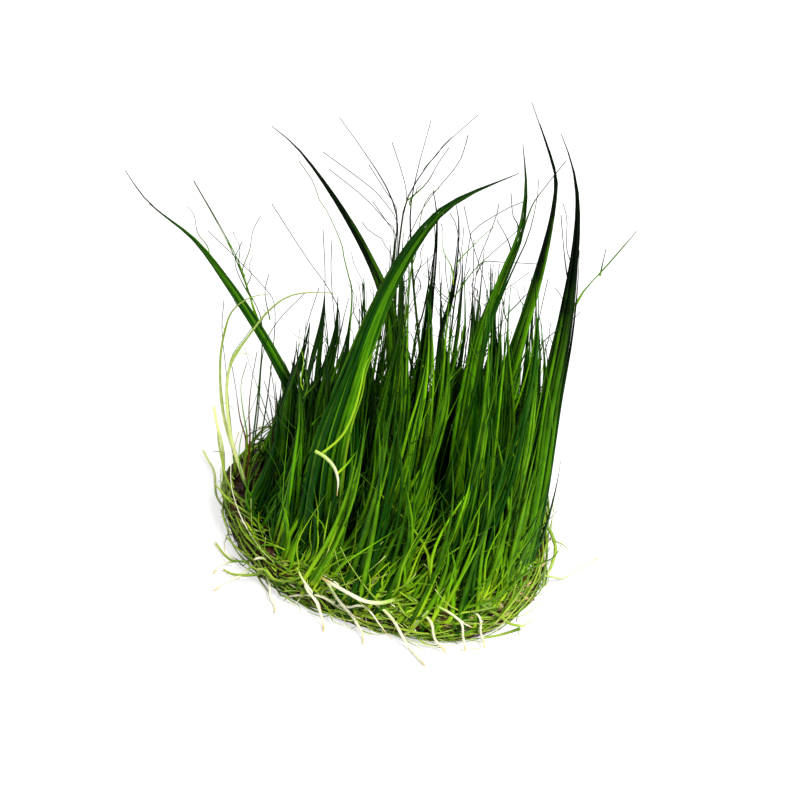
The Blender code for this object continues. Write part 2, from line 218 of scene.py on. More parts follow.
def addStudio():
    bm = bmesh.new()
    bmesh.ops.create_grid(bm, x_segments=1, y_segments=1, size=studio["floorSize"] * mm / 2)
    floor = show("floor", meshFrom(bm, "floor"))
    paint = bpy.data.materials.new("paleFloor")
    paint.use_nodes = True
    setInputs(paint.node_tree.nodes["Principled BSDF"],
              {"Base Color": studio["floor"], "Roughness": studio["floorRoughness"],
               "Specular IOR Level": studio["floorShine"], "Emission Color": (1, 1, 1),
               "Emission Strength": studio["floorGlow"]})
    floor.data.materials.append(paint)
    world = bpy.data.worlds.new("softDaylight")
    world.use_nodes = True
    tree = world.node_tree
    setInputs(tree.nodes["Background"], {"Color": studio["world"]})
    seen = addNode(tree, "ShaderNodeLightPath").outputs["Is Camera Ray"]
    power = remap(tree, seen, 0.0, 1.0, studio["ambient"], studio["background"], False)
    feed(tree, tree.nodes["Background"].inputs["Strength"], power)
    bpy.context.scene.world = world
    for name, place, size, energy in studio["lamps"]:
        light = bpy.data.lights.new(name, "AREA")
        light.size = size * mm
        light.energy = energy
        lamp = show(name, light)
        lamp.location = Vector(place) * mm
        aim = Vector(studio["lampAim"]) * mm - lamp.location
        lamp.rotation_euler = aim.to_track_quat("-Z", "Y").to_euler()


addCamera()
addStudio()
bpy.context.scene.view_settings.view_transform = "Standard"
print("camera, floor and light set")


# Finishes. A noise is given as the width of its patches, its detail and its stretch.

leafNoise = {"patch": (3.0, 3.0), "shift": 0.06, "toneShift": 0.12, "toneSpan": (0.05, 0.95),
             "footTone": 0.3, "footShares": (0.12, 1.6), "gloss": 1.1, "roughness": (0.3, 0.5),
             "grain": (0.35, 1.0, (1.0, 1.0, 0.25))}


def buildLeafTint():
    # Colour along a blade: pale foot, green body that differs from blade to blade, dark wet tip.
    group, given, result = newGroup(
        "leafTint", ("Foot Colour", "Dark Colour", "Light Colour", "Tip Colour"),
        ("Foot Share", "Tip Start", "Tip Full"))
    along = readAttribute(group, "along")
    tone = readAttribute(group, "tone")
    patch = mottle(group, *leafNoise["patch"])
    place = calculate(group, "ADD", along, vary(group, patch, -leafNoise["shift"], leafNoise["shift"]))
    shade = calculate(group, "ADD", tone,
                      vary(group, patch, -leafNoise["toneShift"], leafNoise["toneShift"]))
    body = blendColour(group, remap(group, shade, *leafNoise["toneSpan"]), given["Dark Colour"],
                       given["Light Colour"])
    footEnd = calculate(group, "MULTIPLY", given["Foot Share"], remap(
        group, tone, leafNoise["footTone"], 1, *leafNoise["footShares"], False))
    foot = blendColour(group, remap(group, place, 0.0, footEnd, 1.0, 0.0), body, given["Foot Colour"])
    whole = blendColour(group, remap(group, place, given["Tip Start"], given["Tip Full"]), foot,
                        given["Tip Colour"])
    gloss = vary(group, mottle(group, leafNoise["gloss"]), *leafNoise["roughness"])
    return putOut(group, result, whole, gloss, mottle(group, *leafNoise["grain"]))


rootNoise = {"patch": (1.6, 3.0), "shift": 0.1, "startShares": (0.2, 1.8), "roughness": (0.32, 0.55),
             "grain": 0.3}


def buildRootTint():
    # Colour along a root or runner: its start, its body and its young tip.
    group, given, result = newGroup("rootTint", ("Start Colour", "Body Colour", "Tip Colour"),
                                    ("Start Share", "Tip Share"))
    along = readAttribute(group, "along")
    tone = readAttribute(group, "tone")
    patch = mottle(group, *rootNoise["patch"])
    place = calculate(group, "ADD", along, vary(group, patch, -rootNoise["shift"], rootNoise["shift"]))
    reach = calculate(group, "MULTIPLY", given["Start Share"],
                      remap(group, tone, 0, 1, *rootNoise["startShares"], False))
    start = blendColour(group, remap(group, place, 0.0, reach, 1.0, 0.0), given["Body Colour"],
                        given["Start Colour"])
    tipStart = calculate(group, "SUBTRACT", 1.0, given["Tip Share"])
    whole = blendColour(group, remap(group, place, tipStart, 1.0), start, given["Tip Colour"])
    return putOut(group, result, whole, vary(group, patch, *rootNoise["roughness"]),
                  mottle(group, rootNoise["grain"]))


soilNoise = {"felt": (1.2, 6.0), "fibres": (0.5, 4.0, (0.25, 0.25, 1.0)), "specks": (0.28, 1.0),
             "feltSpan": (0.38, 0.62), "speckSpan": (0.64, 0.72), "roughness": (0.35, 0.9)}


def buildSoilTint():
    # Wet felted soil: near-black hollows of dark peat and painted shade, brown felt, tan specks.
    group, given, result = newGroup("soilTint", ("Peat And Hollow Shade Colour", "Felt Colour", "Speck Colour"))
    felt, fibres, specks = (mottle(group, *soilNoise[part]) for part in ("felt", "fibres", "specks"))
    # Painted shade: where the felt noise is low, which is also where the bump sinks, the soil takes its
    # near-black hollow colour.
    base = blendColour(group, remap(group, felt, *soilNoise["feltSpan"]), given["Peat And Hollow Shade Colour"],
                       given["Felt Colour"])
    whole = blendColour(group, remap(group, specks, *soilNoise["speckSpan"]), base, given["Speck Colour"])
    return putOut(group, result, whole, vary(group, felt, *soilNoise["roughness"]),
                  calculate(group, "ADD", fibres, felt))


leafTint = buildLeafTint()
rootTint = buildRootTint()
soilTint = buildSoilTint()

# Each finish: its group, then the group's inputs in their order, then specular, coat and bump.
# A leaf has its foot, dark, light and tip colour, the share of its foot, and where its tip starts
# and is full. A root or runner has its start, body and tip colour, and the shares of start and
# tip. Soil has its hollow colour, dark peat with painted shade, then its felt and speck colour.
finishes = {
    "leafGreen": (leafTint, (0.20, 0.34, 0.006), (0.003, 0.034, 0.0004), (0.082, 0.265, 0.002),
                  (0.002, 0.014, 0.0006), 0.24, 0.5, 1.0, 0.04, 0.015, 0.05),
    "leafFresh": (leafTint, (0.30, 0.44, 0.012), (0.004, 0.038, 0.0004), (0.125, 0.320, 0.003),
                  (0.010, 0.060, 0.001), 0.42, 0.75, 1.0, 0.04, 0.015, 0.05),
    "leafDark": (leafTint, (0.045, 0.15, 0.003), (0.003, 0.026, 0.0006), (0.070, 0.220, 0.002),
                 (0.0010, 0.0035, 0.0006), 0.15, 0.45, 0.78, 0.03, 0.01, 0.05),
    "leafLime": (leafTint, (0.26, 0.39, 0.015), (0.055, 0.17, 0.002), (0.21, 0.37, 0.006),
                 (0.02, 0.06, 0.003), 0.35, 0.7, 1.0, 0.06, 0.03, 0.05),
    "leafHair": (leafTint, (0.10, 0.24, 0.005), (0.006, 0.030, 0.001), (0.070, 0.17, 0.004),
                 (0.006, 0.012, 0.004), 0.3, 0.25, 0.8, 0.04, 0.01, 0.05),
    "leafWithered": (leafTint, (0.10, 0.045, 0.010), (0.022, 0.005, 0.003), (0.13, 0.040, 0.010),
                     (0.006, 0.002, 0.002), 0.3, 0.6, 1.0, 0.05, 0.01, 0.1),
    "runnerPale": (rootTint, (0.08, 0.16, 0.005), (0.21, 0.31, 0.022), (0.40, 0.45, 0.14), 0.7, 0.2,
                   0.12, 0.05, 0.05),
    "runnerLime": (rootTint, (0.07, 0.15, 0.005), (0.14, 0.23, 0.010), (0.32, 0.40, 0.08), 1.0, 0.25,
                   0.12, 0.05, 0.05),
    "runnerLoop": (rootTint, (0.60, 0.66, 0.24), (0.17, 0.28, 0.02), (0.20, 0.26, 0.06), 0.85, 0.4,
                   0.12, 0.05, 0.05),
    "rootWhite": (rootTint, (0.24, 0.36, 0.04), (0.56, 0.54, 0.38), (0.42, 0.31, 0.10), 0.5, 0.24,
                  0.2, 0.1, 0.06),
    # soilDark's first colour is dark peat with painted shade, laid in the hollows of the felt's relief.
    "soilDark": (soilTint, (0.003, 0.0016, 0.0008), (0.034, 0.011, 0.003), (0.14, 0.07, 0.022),
                 0.12, 0.05, 0.35),
    "fibreBrown": (rootTint, (0.016, 0.006, 0.002), (0.060, 0.026, 0.007), (0.22, 0.15, 0.05), 0.6, 0.25,
                   0.1, 0.03, 0.1),
    # crumbDark's first colour is painted shade over dark soil, laid in the hollows of the crumbs' relief.
    "crumbDark": (soilTint, (0.005, 0.0025, 0.001), (0.050, 0.016, 0.004), (0.14, 0.07, 0.02),
                  0.15, 0.08, 0.3),
    # crumbTan's first colour is the tan darkened as painted shade in the hollows of the crumbs' relief.
    "crumbTan": (soilTint, (0.16, 0.11, 0.035), (0.33, 0.25, 0.10), (0.55, 0.46, 0.30),
                 0.25, 0.12, 0.2),
}
wetSkin = {"relief": 0.6, "coatRoughness": 0.18}


def makeFinish(name):
    group, *values, specular, coat, bump = finishes[name]
    material = bpy.data.materials.new(name)
    material.use_nodes = True
    tree = material.node_tree
    shader = tree.nodes["Principled BSDF"]
    tint = addNode(tree, "ShaderNodeGroup", node_tree=group)
    setInputs(tint, dict(zip(tint.inputs.keys(), values)))
    relief = addNode(tree, "ShaderNodeBump")
    setInputs(relief, {"Strength": wetSkin["relief"], "Distance": bump * mm})
    feed(tree, shader.inputs["Base Color"], tint.outputs["Colour"])
    feed(tree, shader.inputs["Roughness"], tint.outputs["Roughness"])
    feed(tree, relief.inputs["Height"], tint.outputs["Height"])
    feed(tree, shader.inputs["Normal"], relief.outputs["Normal"])
    setInputs(shader, {"Specular IOR Level": specular, "Coat Weight": coat,
                       "Coat Roughness": wetSkin["coatRoughness"]})
    return material


materials = {name: makeFinish(name) for name in finishes}
print("finishes made:", len(materials))


# Lines in space

def curveBetween(a, b, c, d, t):
    # Catmull-Rom: the value at share t of the way from b to c.
    return 0.5 * (2 * b + (c - a) * t + (2 * a - 5 * b + 4 * c - d) * t * t
                  + (3 * b - a - 3 * c + d) * t ** 3)


def smoothRoute(points, count, perSpan=24):
    # A curve through the points, read at evenly spaced steps.
    points = np.array(points, dtype=float)
    padded = np.vstack([2 * points[0] - points[1], points, 2 * points[-1] - points[-2]])
    spans = len(padded) - 3
    fine = []
    for step in np.linspace(0, spans, perSpan * spans + 1):
        index = min(int(step), spans - 1)
        fine.append(curveBetween(*padded[index:index + 4], step - index))
    return evenSteps(np.array(fine), count)


def readLine(line, places, wanted):
    # The line's points at the wanted places, given the places of its own points.
    return np.column_stack([np.interp(wanted, places, line[:, k]) for k in range(3)])


def evenSteps(line, count):
    lengths = np.concatenate([[0], np.cumsum(np.linalg.norm(np.diff(line, axis=0), axis=1))])
    return readLine(line, lengths, np.linspace(0, lengths[-1], count))


def upTo(line, reach, count):
    # The first part of an evenly stepped line, up to a share of its length.
    return readLine(line, np.linspace(0, 1, len(line)), np.linspace(0, reach, count))


def unit(vectors):
    return vectors / np.maximum(np.linalg.norm(vectors, axis=-1, keepdims=True), 1e-9)


firstSide = (0.2, 1.0, 0.1)  # each line's first direction stands square to this and to the line


def framesAlong(lines):
    # Two directions square to each line, carried along it without turning.
    ahead = unit(np.gradient(lines, axis=-2))
    side = unit(np.cross(ahead[..., 0, :], firstSide))
    sides = [side]
    for step in range(1, lines.shape[-2]):
        way = ahead[..., step, :]
        side = unit(side - way * (side * way).sum(-1, keepdims=True))
        sides.append(side)
    sides = np.stack(sides, axis=-2)
    return sides, np.cross(ahead, sides)


# Blades: copies of one straight blade, each bent along a line of its own

def drawUp(bm, edges):
    # Extrudes an open ring of edges; gives the new ring's points and edges.
    made = bmesh.ops.extrude_edge_only(bm, edges=edges)["geom"]
    points = [item for item in made if isinstance(item, bmesh.types.BMVert)]
    return points, [item for item in made if isinstance(item, bmesh.types.BMEdge) and item.is_boundary]


def closeEnd(bm, edges):
    bmesh.ops.contextual_create(bm, geom=edges)
    bmesh.ops.recalc_face_normals(bm, faces=bm.faces)


def straightBlade(sides, rings):
    # One blade, 1 high and 1 in radius, drawn up ring by ring and closed at both ends.
    bm = bmesh.new()
    bmesh.ops.create_circle(bm, cap_ends=True, segments=sides, radius=1)
    edges = list(bm.edges)
    for _ in range(rings - 1):
        points, edges = drawUp(bm, edges)
        bmesh.ops.translate(bm, verts=points, vec=(0, 0, 1 / (rings - 1)))
    closeEnd(bm, edges)
    return meshFrom(bm, "straightBlade")


room = {"margin": 0.3, "ground": 0.02}  # blades keep this near the solids' box and off the ground
roomLow, roomHigh = (np.array(corner) / mm for corner in cadBox)
roomLow, roomHigh = roomLow - room["margin"], roomHigh + room["margin"]
roomLow[2] = room["ground"]


def addPiece(name, mesh, finish, nodes=()):
    mesh.materials.append(materials[finish])
    mesh.update()
    piece = show(name, mesh)
    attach(piece, "root")
    if nodes:
        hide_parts(*nodes)


def growBlades(name, blades, finish, sides=5, rings=14, flatness=0.85, nodes=()):
    # A piece made of many blades; each blade is (line, radii, tone).
    pattern = straightBlade(sides, rings)
    bm = bmesh.new()
    for _ in blades:
        bm.from_mesh(pattern)
    mesh = meshFrom(bm, name)
    straight = np.empty(len(pattern.vertices) * 3)
    pattern.vertices.foreach_get("co", straight)
    straight = straight.reshape(-1, 3)
    bpy.data.meshes.remove(pattern)
    level = np.rint(straight[:, 2] * (rings - 1)).astype(int)
    lines = np.stack([evenSteps(line, rings) for line, radii, tone in blades])
    radii = np.stack([np.interp(np.linspace(0, 1, rings), np.linspace(0, 1, len(radii)), radii)
                      for line, radii, tone in blades])
    lines = np.clip(lines, roomLow + radii.max(), roomHigh - radii.max())
    side, other = framesAlong(lines)
    places = lines[:, level] + radii[:, level, None] * (
        straight[:, 0, None] * side[:, level] + flatness * straight[:, 1, None] * other[:, level])
    mesh.vertices.foreach_set("co", (places * mm).ravel())
    for title, values in (("along", np.tile(straight[:, 2], len(blades))),
                          ("tone", np.repeat([blade[2] for blade in blades], len(straight)))):
        mesh.attributes.new(title, "FLOAT", "POINT").data.foreach_set("value", values)
    mesh.shade_smooth()
    addPiece(name, mesh, finish, nodes)


def taper(thickness, count=14, power=1.9, tip=0.035, foot=0.85, footEnd=0.2):
    # Radii of a blade: a little thinner at its foot, full above it, drawn out to a point.
    along = np.linspace(0, 1, count)
    body = thickness * (foot + (1 - foot) * np.minimum(along / footEnd, 1))
    return np.maximum(body * (1 - along ** power), tip)


# What all locks share: the steps of a blade's line and radii, how much of its thickness keeps
# inside the lock, how fast the foot's spread and the gathering change, the waves, how a stray
# blade leaves, and the lock's radius at its tip.
lockShape = {"steps": 30, "radii": 20, "tip": 0.045, "inside": 0.6, "footPower": 4, "gatherPower": 4,
             "waveHeight": 2.6, "waves": (0.5, 1.5), "strayFrom": (0.35, 0.75), "strayFall": (-0.6, 0.2),
             "strayPower": 1.6, "strayThin": 0.7, "drawnTip": 0.1}


def drawnIn(radius, power):
    # A lock's radius at shares of its length: full at its foot, drawn in to its tip.
    tip = lockShape["drawnTip"]
    return lambda share: tip + (radius - tip) * (1 - share ** power)


def lockBlades(line, width, look, chance):
    # Blades that keep together as one wet lock around its middle line. width gives the lock's
    # radius at shares of its length.
    steps = lockShape["steps"]
    line = evenSteps(np.array(line, dtype=float), steps)
    share = np.linspace(0, 1, steps)
    side, other = framesAlong(line)
    lockTone = chance.gauss(look["tone"], look["toneRange"])
    blades = []
    for index in range(look["blades"]):
        thickness = chance.uniform(*look["thickness"])
        reach = 1.0 if index < look["full"] else chance.uniform(*look["reach"])
        out = math.sqrt(chance.random())
        turn = chance.uniform(0, math.tau) + share * chance.uniform(-1, 1) * look["twist"]
        away = out * (np.maximum(width(share) - lockShape["inside"] * thickness, 0)
                      + look["footSpread"] * (1 - share) ** lockShape["footPower"])
        away *= 1 - look["gather"] * np.minimum(share / reach, 1) ** lockShape["gatherPower"]
        swing = np.sin(math.tau * (chance.uniform(*lockShape["waves"]) * share + chance.random()))
        wave = look["wave"] * lockShape["waveHeight"] * share * (1 - share ** 2) * swing
        path = line + side * (away * np.cos(turn) + wave)[:, None] + other * (away * np.sin(turn))[:, None]
        if chance.random() < look["strayChance"]:
            leave = chance.uniform(*lockShape["strayFrom"])
            way = np.array([chance.gauss(0, 1), chance.gauss(0, 1), chance.uniform(*lockShape["strayFall"])])
            drift = np.clip((share - leave) / (1 - leave), 0, 1) ** lockShape["strayPower"]
            path = path + drift[:, None] * way * look["strayWay"]
            thickness *= lockShape["strayThin"]
        tone = within(chance, lockTone, look["toneSpread"])
        radii = taper(thickness, lockShape["radii"], look["fullness"], lockShape["tip"])
        blades.append((upTo(path, reach, steps), radii, tone))
    return blades


def moveAll(blades, way):
    return [(way(line), radii, tone) for line, radii, tone in blades]


# The root mat's outline, which everything that grows on it follows

rootMat = {"centre": (0.0, -3.0), "height": 5.0, "segments": 160,
           "rim": (21.6, 24.0, 23.5, 21.0, 24.0, 24.8, 20.4, 17.0, 15.4, 16.8, 21.0, 22.4),
           "under": (0.05, 0.15, 0.3, 0.45, 0.6, 0.75, 0.88),
           "wall": ((0.965, 0.0), (0.985, 0.5), (0.995, 1.1), (1.0, 1.8), (1.0, 2.5), (1.0, 3.1),
                    (0.99, 3.7), (0.975, 4.2), (0.955, 4.6), (0.93, 4.85)),
           "top": (0.9, 0.85, 0.8, 0.74, 0.67, 0.6, 0.52, 0.44, 0.36, 0.28, 0.2, 0.12, 0.05),
           "bulge": 0.4, "bulges": 5, "bulgeFrom": 0.99, "relief": 0.5, "reliefSizes": (2.4, 0.8),
           "reliefLevel": 0.15, "topFrom": 4.7, "underRelief": 0.25, "underSize": 1.6}


def rimDistance(angle):
    rim = rootMat["rim"]
    place = (angle % 360) * len(rim) / 360
    index = int(place)
    return curveBetween(*(rim[(index + k) % len(rim)] for k in (-1, 0, 1, 2)), place - index)


def rimPoint(angle, outside, height):
    distance = rimDistance(angle) + outside
    turn = math.radians(angle)
    return np.array((rootMat["centre"][0] + distance * math.cos(turn),
                     rootMat["centre"][1] + distance * math.sin(turn), height))


def fromMiddle(x, y):
    # How far from the mat's centre a spot is, and at which angle.
    across, away = x - rootMat["centre"][0], y - rootMat["centre"][1]
    return math.hypot(across, away), math.degrees(math.atan2(away, across))


def insideRim(x, y, margin):
    # The same spot, moved in where it stands less than margin inside the mat's rim.
    distance, angle = fromMiddle(x, y)
    share = min(1, (rimDistance(angle) - margin) / max(distance, 0.01))
    return [middle + (value - middle) * share for middle, value in zip(rootMat["centre"], (x, y))]


# Tufts: every tuft's solid gives the tips of its locks

tufts = {"matTop": 4.5, "crownOffset": 1.2, "lockRadius": 1.0, "narrow": 1.5,
         "way": ((0.3, 0.45, 0.15), (0.65, 0.85, 0.5)), "freshFront": -9.0,
         "weld": 0.003, "footSlice": 0.1, "tipsFrom": 0.55, "tipPoints": 4,
         "lock": {"blades": 13, "full": 3, "thickness": (0.2, 0.33), "reach": (0.35, 0.9),
                  "twist": 1.2, "footSpread": 1.6, "wave": 0.3, "strayChance": 0.12,
                  "strayWay": 2.4, "tone": 0.36, "toneRange": 0.16, "toneSpread": 0.34, "fullness": 2.6,
                  "gather": 0.8},
         "loose": {"count": 6, "thickness": (0.18, 0.3), "heights": (0.25, 0.68), "spread": 3.4, "bow": 2.0},
         "shoots": {"count": 4, "thickness": (0.17, 0.27), "heights": (0.1, 0.3), "spread": 2.6, "bow": 2.0},
         "wisps": {"count": 2, "thickness": (0.07, 0.12), "heights": (0.7, 1.0), "spread": 3.2, "bow": 2.2},
         "looseFoot": 0.9, "looseTone": (0.5, 0.28), "sunk": 0.9, "inset": 0.9}


def lockTips(node):
    # The middle of a tuft's crown, and the tips of its locks, from its solid.
    low, high = (np.array(corner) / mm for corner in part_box(node))
    bm = bmesh.new()
    bm.from_mesh(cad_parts[node].data)
    bmesh.ops.remove_doubles(bm, verts=bm.verts, dist=tufts["weld"] * mm)
    foot = [vert.co.copy() for vert in bm.verts if vert.co.z / mm < low[2] + tufts["footSlice"]]
    crown = np.array(sum(foot, Vector()) / len(foot)) / mm
    above = low[2] + tufts["tipsFrom"] * (high[2] - low[2])
    waiting = [vert for vert in bm.verts if vert.co.z / mm > above]
    tips = []
    while waiting:
        group = [waiting.pop(0)]
        for vert in group:
            for edge in vert.link_edges:
                near = edge.other_vert(vert)
                if near in waiting:
                    waiting.remove(near)
                    group.append(near)
        highest = sorted((tuple(vert.co / mm) for vert in group), key=lambda point: -point[2])
        tips.append(np.mean(highest[:tufts["tipPoints"]], axis=0))
    bm.free()
    return crown, tips


def leanRoute(start, tip):
    # Leaves lean over early and stand up above, as in the solids.
    ways = [np.array([lean, back, up]) for up, lean, back in tufts["way"]]
    return [start, *(start + tip * way for way in ways), start + tip]


def lockLines(node):
    # The middle lines of a tuft's locks.
    crown, tips = lockTips(node)
    middle = np.mean(tips, axis=0)
    lines = []
    for tip in tips:
        out = tip[:2] - middle[:2]
        out = out / max(np.linalg.norm(out), 0.01) * tufts["crownOffset"]
        start = np.array([crown[0] + out[0], crown[1] + out[1], tufts["matTop"]])
        lines.append(smoothRoute(leanRoute(start, tip - start), 24))
    return crown, lines


def sink(line):
    # The same line with its foot inside the mat's rim and sunk into the felt.
    share = np.linspace(1, 0, len(line))
    x, y = insideRim(line[0, 0], line[0, 1], tufts["inset"])
    moved = line + np.array([x - line[0, 0], y - line[0, 1], 0]) * share[:, None] ** 3
    moved[:, 2] -= tufts["sunk"] * share ** 6
    return moved


# Where the tops of the leaves stick together: each clump's place across, and the height at which
# the leaves begin and finish drawing together. Leaves further back start lower.
clumps = {"across": (-19.5, -15.2, -11.6, -8.0, -3.2, 2.7, 5.7, 8.0, 10.2, 12.6, 15.2, 19.2),
          "start": 18.0, "full": 36.0, "pull": 0.9, "pullPower": 1.2, "backShare": 0.875,
          "sway": 0.5, "swayStep": 7, "swayLength": 6}


def gather(line):
    # The same line, its upper part drawn towards the nearest clump.
    height = line[:, 2] + clumps["backShare"] * line[:, 1]
    share = np.clip((height - clumps["start"]) / (clumps["full"] - clumps["start"]), 0, 1)
    middles = np.array(clumps["across"])
    nearest = middles[np.argmin(np.abs(middles - line[-1, 0]))]
    sway = clumps["sway"] * np.sin(nearest * clumps["swayStep"] + line[:, 2] / clumps["swayLength"])
    line = line.copy()
    line[:, 0] += clumps["pull"] * share ** clumps["pullPower"] * (nearest + sway - line[:, 0])
    return line


rightSide = {"foot": 19.2, "lean": 0.09, "soft": 0.8}  # how far the leaves reach to the right


def overRight(line):
    return line[:, 0] - (rightSide["foot"] + rightSide["lean"] * line[:, 2])


def settleRight(line):
    # The same line, kept from hanging out over the right side.
    over = np.maximum(overRight(line), 0)
    line = line.copy()
    line[:, 0] -= over - rightSide["soft"] * (1 - np.exp(-over / rightSide["soft"]))
    return line


def settle(line):
    return settleRight(gather(sink(line)))


def looseBlades(kind, lines, chance):
    # Blades of the tuft that keep to themselves, between its locks.
    look = tufts[kind]
    share = np.linspace(0, 1, 20)
    blades = []
    for _ in range(look["count"]):
        guide = chance.choice(lines)
        line = upTo(guide, chance.uniform(*look["heights"]), len(share))
        shift = scatter(chance, 1) * look["spread"]
        root = scatter(chance, 1) * tufts["looseFoot"]
        bend = scatter(chance, 1) * look["bow"]
        line = line + share[:, None] ** 1.5 * shift + (1 - share)[:, None] ** 2 * root
        line = line + np.sin(math.pi * share)[:, None] * bend
        radii = taper(chance.uniform(*look["thickness"]), 14, 1.6)
        blades.append((line, radii, within(chance, *tufts["looseTone"])))
    return blades


def growTuft(node, chance):
    crown, lines = lockLines(node)
    width = drawnIn(tufts["lockRadius"], tufts["narrow"])
    blades = [blade for line in lines for blade in lockBlades(line, width, tufts["lock"], chance)]
    blades += looseBlades("loose", lines, chance) + looseBlades("shoots", lines, chance)
    blades += [blade for blade in looseBlades("wisps", lines, chance)
               if overRight(gather(blade[0])).max() < 0]
    finish = "leafFresh" if crown[1] < tufts["freshFront"] else "leafGreen"
    growBlades(node + "_blades", moveAll(blades, settle), finish, nodes=(node,))
    return len(blades)


tuftNodes = sorted(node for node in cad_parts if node.startswith("tuft_"))
grown = sum(growTuft(node, random.Random(node)) for node in tuftNodes)
print("tufts grown:", len(tuftNodes), "with", grown, "blades")


# Tall locks and single blades that stand out of the tufts

matFoot = 4.6
tallLook = {"full": 3, "reach": (0.6, 0.97), "twist": 1.0, "fullness": 2.6, "footSpread": 1.2, "wave": 0.2,
            "strayChance": 0.08, "strayWay": 1.6, "tone": 0.42, "toneRange": 0.05, "toneSpread": 0.26,
            "gather": 0.7}
tallLocks = {
    "arching_lock": {"radius": 1.5, "narrow": 4.5, "blades": 34, "thickness": (0.28, 0.42),
        "finish": "leafGreen", "reach": (0.62, 0.94), "twist": 0.5, "full": 5, "strayChance": 0.03,
        "footSpread": 2.6, "toneSpread": 0.32, "gather": 0.5, "fullness": 3.4, "route": ((-9, -9, 5.54),
        (-7.5, -8.5, 20), (-5, -8, 30), (0.3, -6, 45), (5.7, -4, 54), (10, -3, 57), (16.4, -2, 59.5))},
    "left_lock": {"radius": 1.15, "narrow": 2.4, "blades": 20, "thickness": (0.3, 0.42),
        "finish": "leafDark", "route": ((2.4, 4.5, 5.54), (1.5, 5.5, 22.5), (0.7, 6, 33), (-1.2, 7, 39.5),
        (-5, 8, 47.5), (-10.5, 10, 55.5), (-14, 11, 58.5))},
    "far_left_blade": {"radius": 0.7, "narrow": 2.2, "blades": 8, "thickness": (0.2, 0.32),
        "finish": "leafGreen", "route": ((-9.5, 9, 5.54), (-12, 9.5, 15), (-15.7, 10, 24.5), (-21, 11, 35),
        (-25, 12, 41), (-30.7, 13, 46), (-33.5, 14, 50.3))},
    "thin_left_blade": {"radius": 0.3, "narrow": 2.0, "blades": 2, "thickness": (0.1, 0.16),
        "finish": "leafLime", "route": ((-12.5, 13, 5.54), (-13, 13, 13.5), (-16.9, 13.5, 25),
        (-19.8, 14.5, 36), (-25, 16, 47.5))},
    "dark_lock_1": {"radius": 0.8, "narrow": 1.5, "blades": 10, "thickness": (0.18, 0.3),
        "finish": "leafDark", "route": ((2.6, -1.5, 5.54), (4.7, 1, 26), (6.1, 2, 38), (6.8, 4, 48.5),
        (6.2, 5, 53))},
    "dark_lock_2": {"radius": 0.8, "narrow": 1.5, "blades": 10, "thickness": (0.18, 0.3),
        "finish": "leafDark", "route": ((5.5, -6.5, 5.54), (7.2, -3, 34.5), (8.6, -2, 41), (9.4, 0, 50),
        (9, 0.5, 53.5))},
    "right_inner_lock": {"radius": 1.3, "narrow": 2.4, "blades": 24, "thickness": (0.3, 0.44),
        "finish": "leafGreen", "route": ((9.8, -9.5, 5.54), (10.5, -5, 21), (12.4, -1, 34), (15.4, 1, 43.5),
        (17.1, 2, 48), (17.7, 3, 54), (17.1, 4, 60))},
    "right_tall_lock": {"radius": 1.15, "narrow": 1.9, "blades": 20, "thickness": (0.28, 0.4),
        "finish": "leafDark", "route": ((13.3, 2, 5.54), (15, 3, 17.5), (17.3, 4, 28.5), (20.5, 6, 42.5),
        (21.8, 7.5, 51.5), (21.2, 8.5, 55), (18.4, 10, 62.5))},
    "right_edge_lock": {"radius": 1.7, "narrow": 2.3, "blades": 52, "thickness": (0.28, 0.4),
        "finish": "leafDark", "twist": 0.5, "strayChance": 0.02, "gather": 0.55, "toneSpread": 0.34,
        "route": ((19.4, -13.5, 5.54), (20.4, -12, 17), (21.2, -10, 31), (22.4, -8.5, 41), (23.3, -7, 50.5),
        (23.3, -5, 57.5), (22.4, -4, 62), (21, -3, 65.5))},
    "right_blade": {"radius": 0.45, "narrow": 2.0, "blades": 4, "thickness": (0.14, 0.24),
        "finish": "leafLime", "route": ((19.2, -2, 5.54), (21.8, -3.2, 27.5), (24, -3.4, 41),
        (28, -2, 46.5), (31.4, 0, 50))},
    "fine_blade_1": {"radius": 0.25, "narrow": 2.0, "blades": 1, "thickness": (0.2, 0.22),
        "finish": "leafHair", "route": ((1, 10.5, 5.54), (1.7, 10.2, 32.5), (2.4, 10.5, 43.5),
        (3.4, 11, 48.5), (7.2, 12, 54.5), (12, 13, 59))},
    "fine_blade_2": {"radius": 0.25, "narrow": 2.0, "blades": 1, "thickness": (0.2, 0.22),
        "finish": "leafHair", "route": ((-3, 12.5, 5.54), (0.3, 13, 30.5), (1.6, 14, 40.3),
        (1.6, 14.3, 43.4), (0.1, 15, 47.4), (-2.4, 16, 51.4), (-5.7, 17, 56.4))},
    "fine_blade_3": {"radius": 0.25, "narrow": 2.0, "blades": 1, "thickness": (0.2, 0.22),
        "finish": "leafHair", "route": ((6.5, 6.5, 5.54), (4.6, 7.5, 29.5), (3.6, 8, 45), (3.6, 8, 49.5),
        (4.4, 9, 54), (6, 10, 60))},
}


def growTallLock(node, chance):
    lock = tallLocks[node]
    (x, y, _), *rest = lock["route"]
    blades = lockBlades(smoothRoute([(x, y, matFoot), *rest], 30), drawnIn(lock["radius"], lock["narrow"]),
                        {**tallLook, **lock}, chance)
    growBlades(node + "_strands", moveAll(blades, sink), lock["finish"],
               sides=6, rings=26, nodes=(node,))


for node in tallLocks:
    growTallLock(node, random.Random(node))
print("tall locks grown:", len(tallLocks))


# Root mat: felted soil with root fibres and crumbs

def feltRelief(place, size):
    return noise.fractal(Vector(place) / size, 1.0, 2.0, 4)


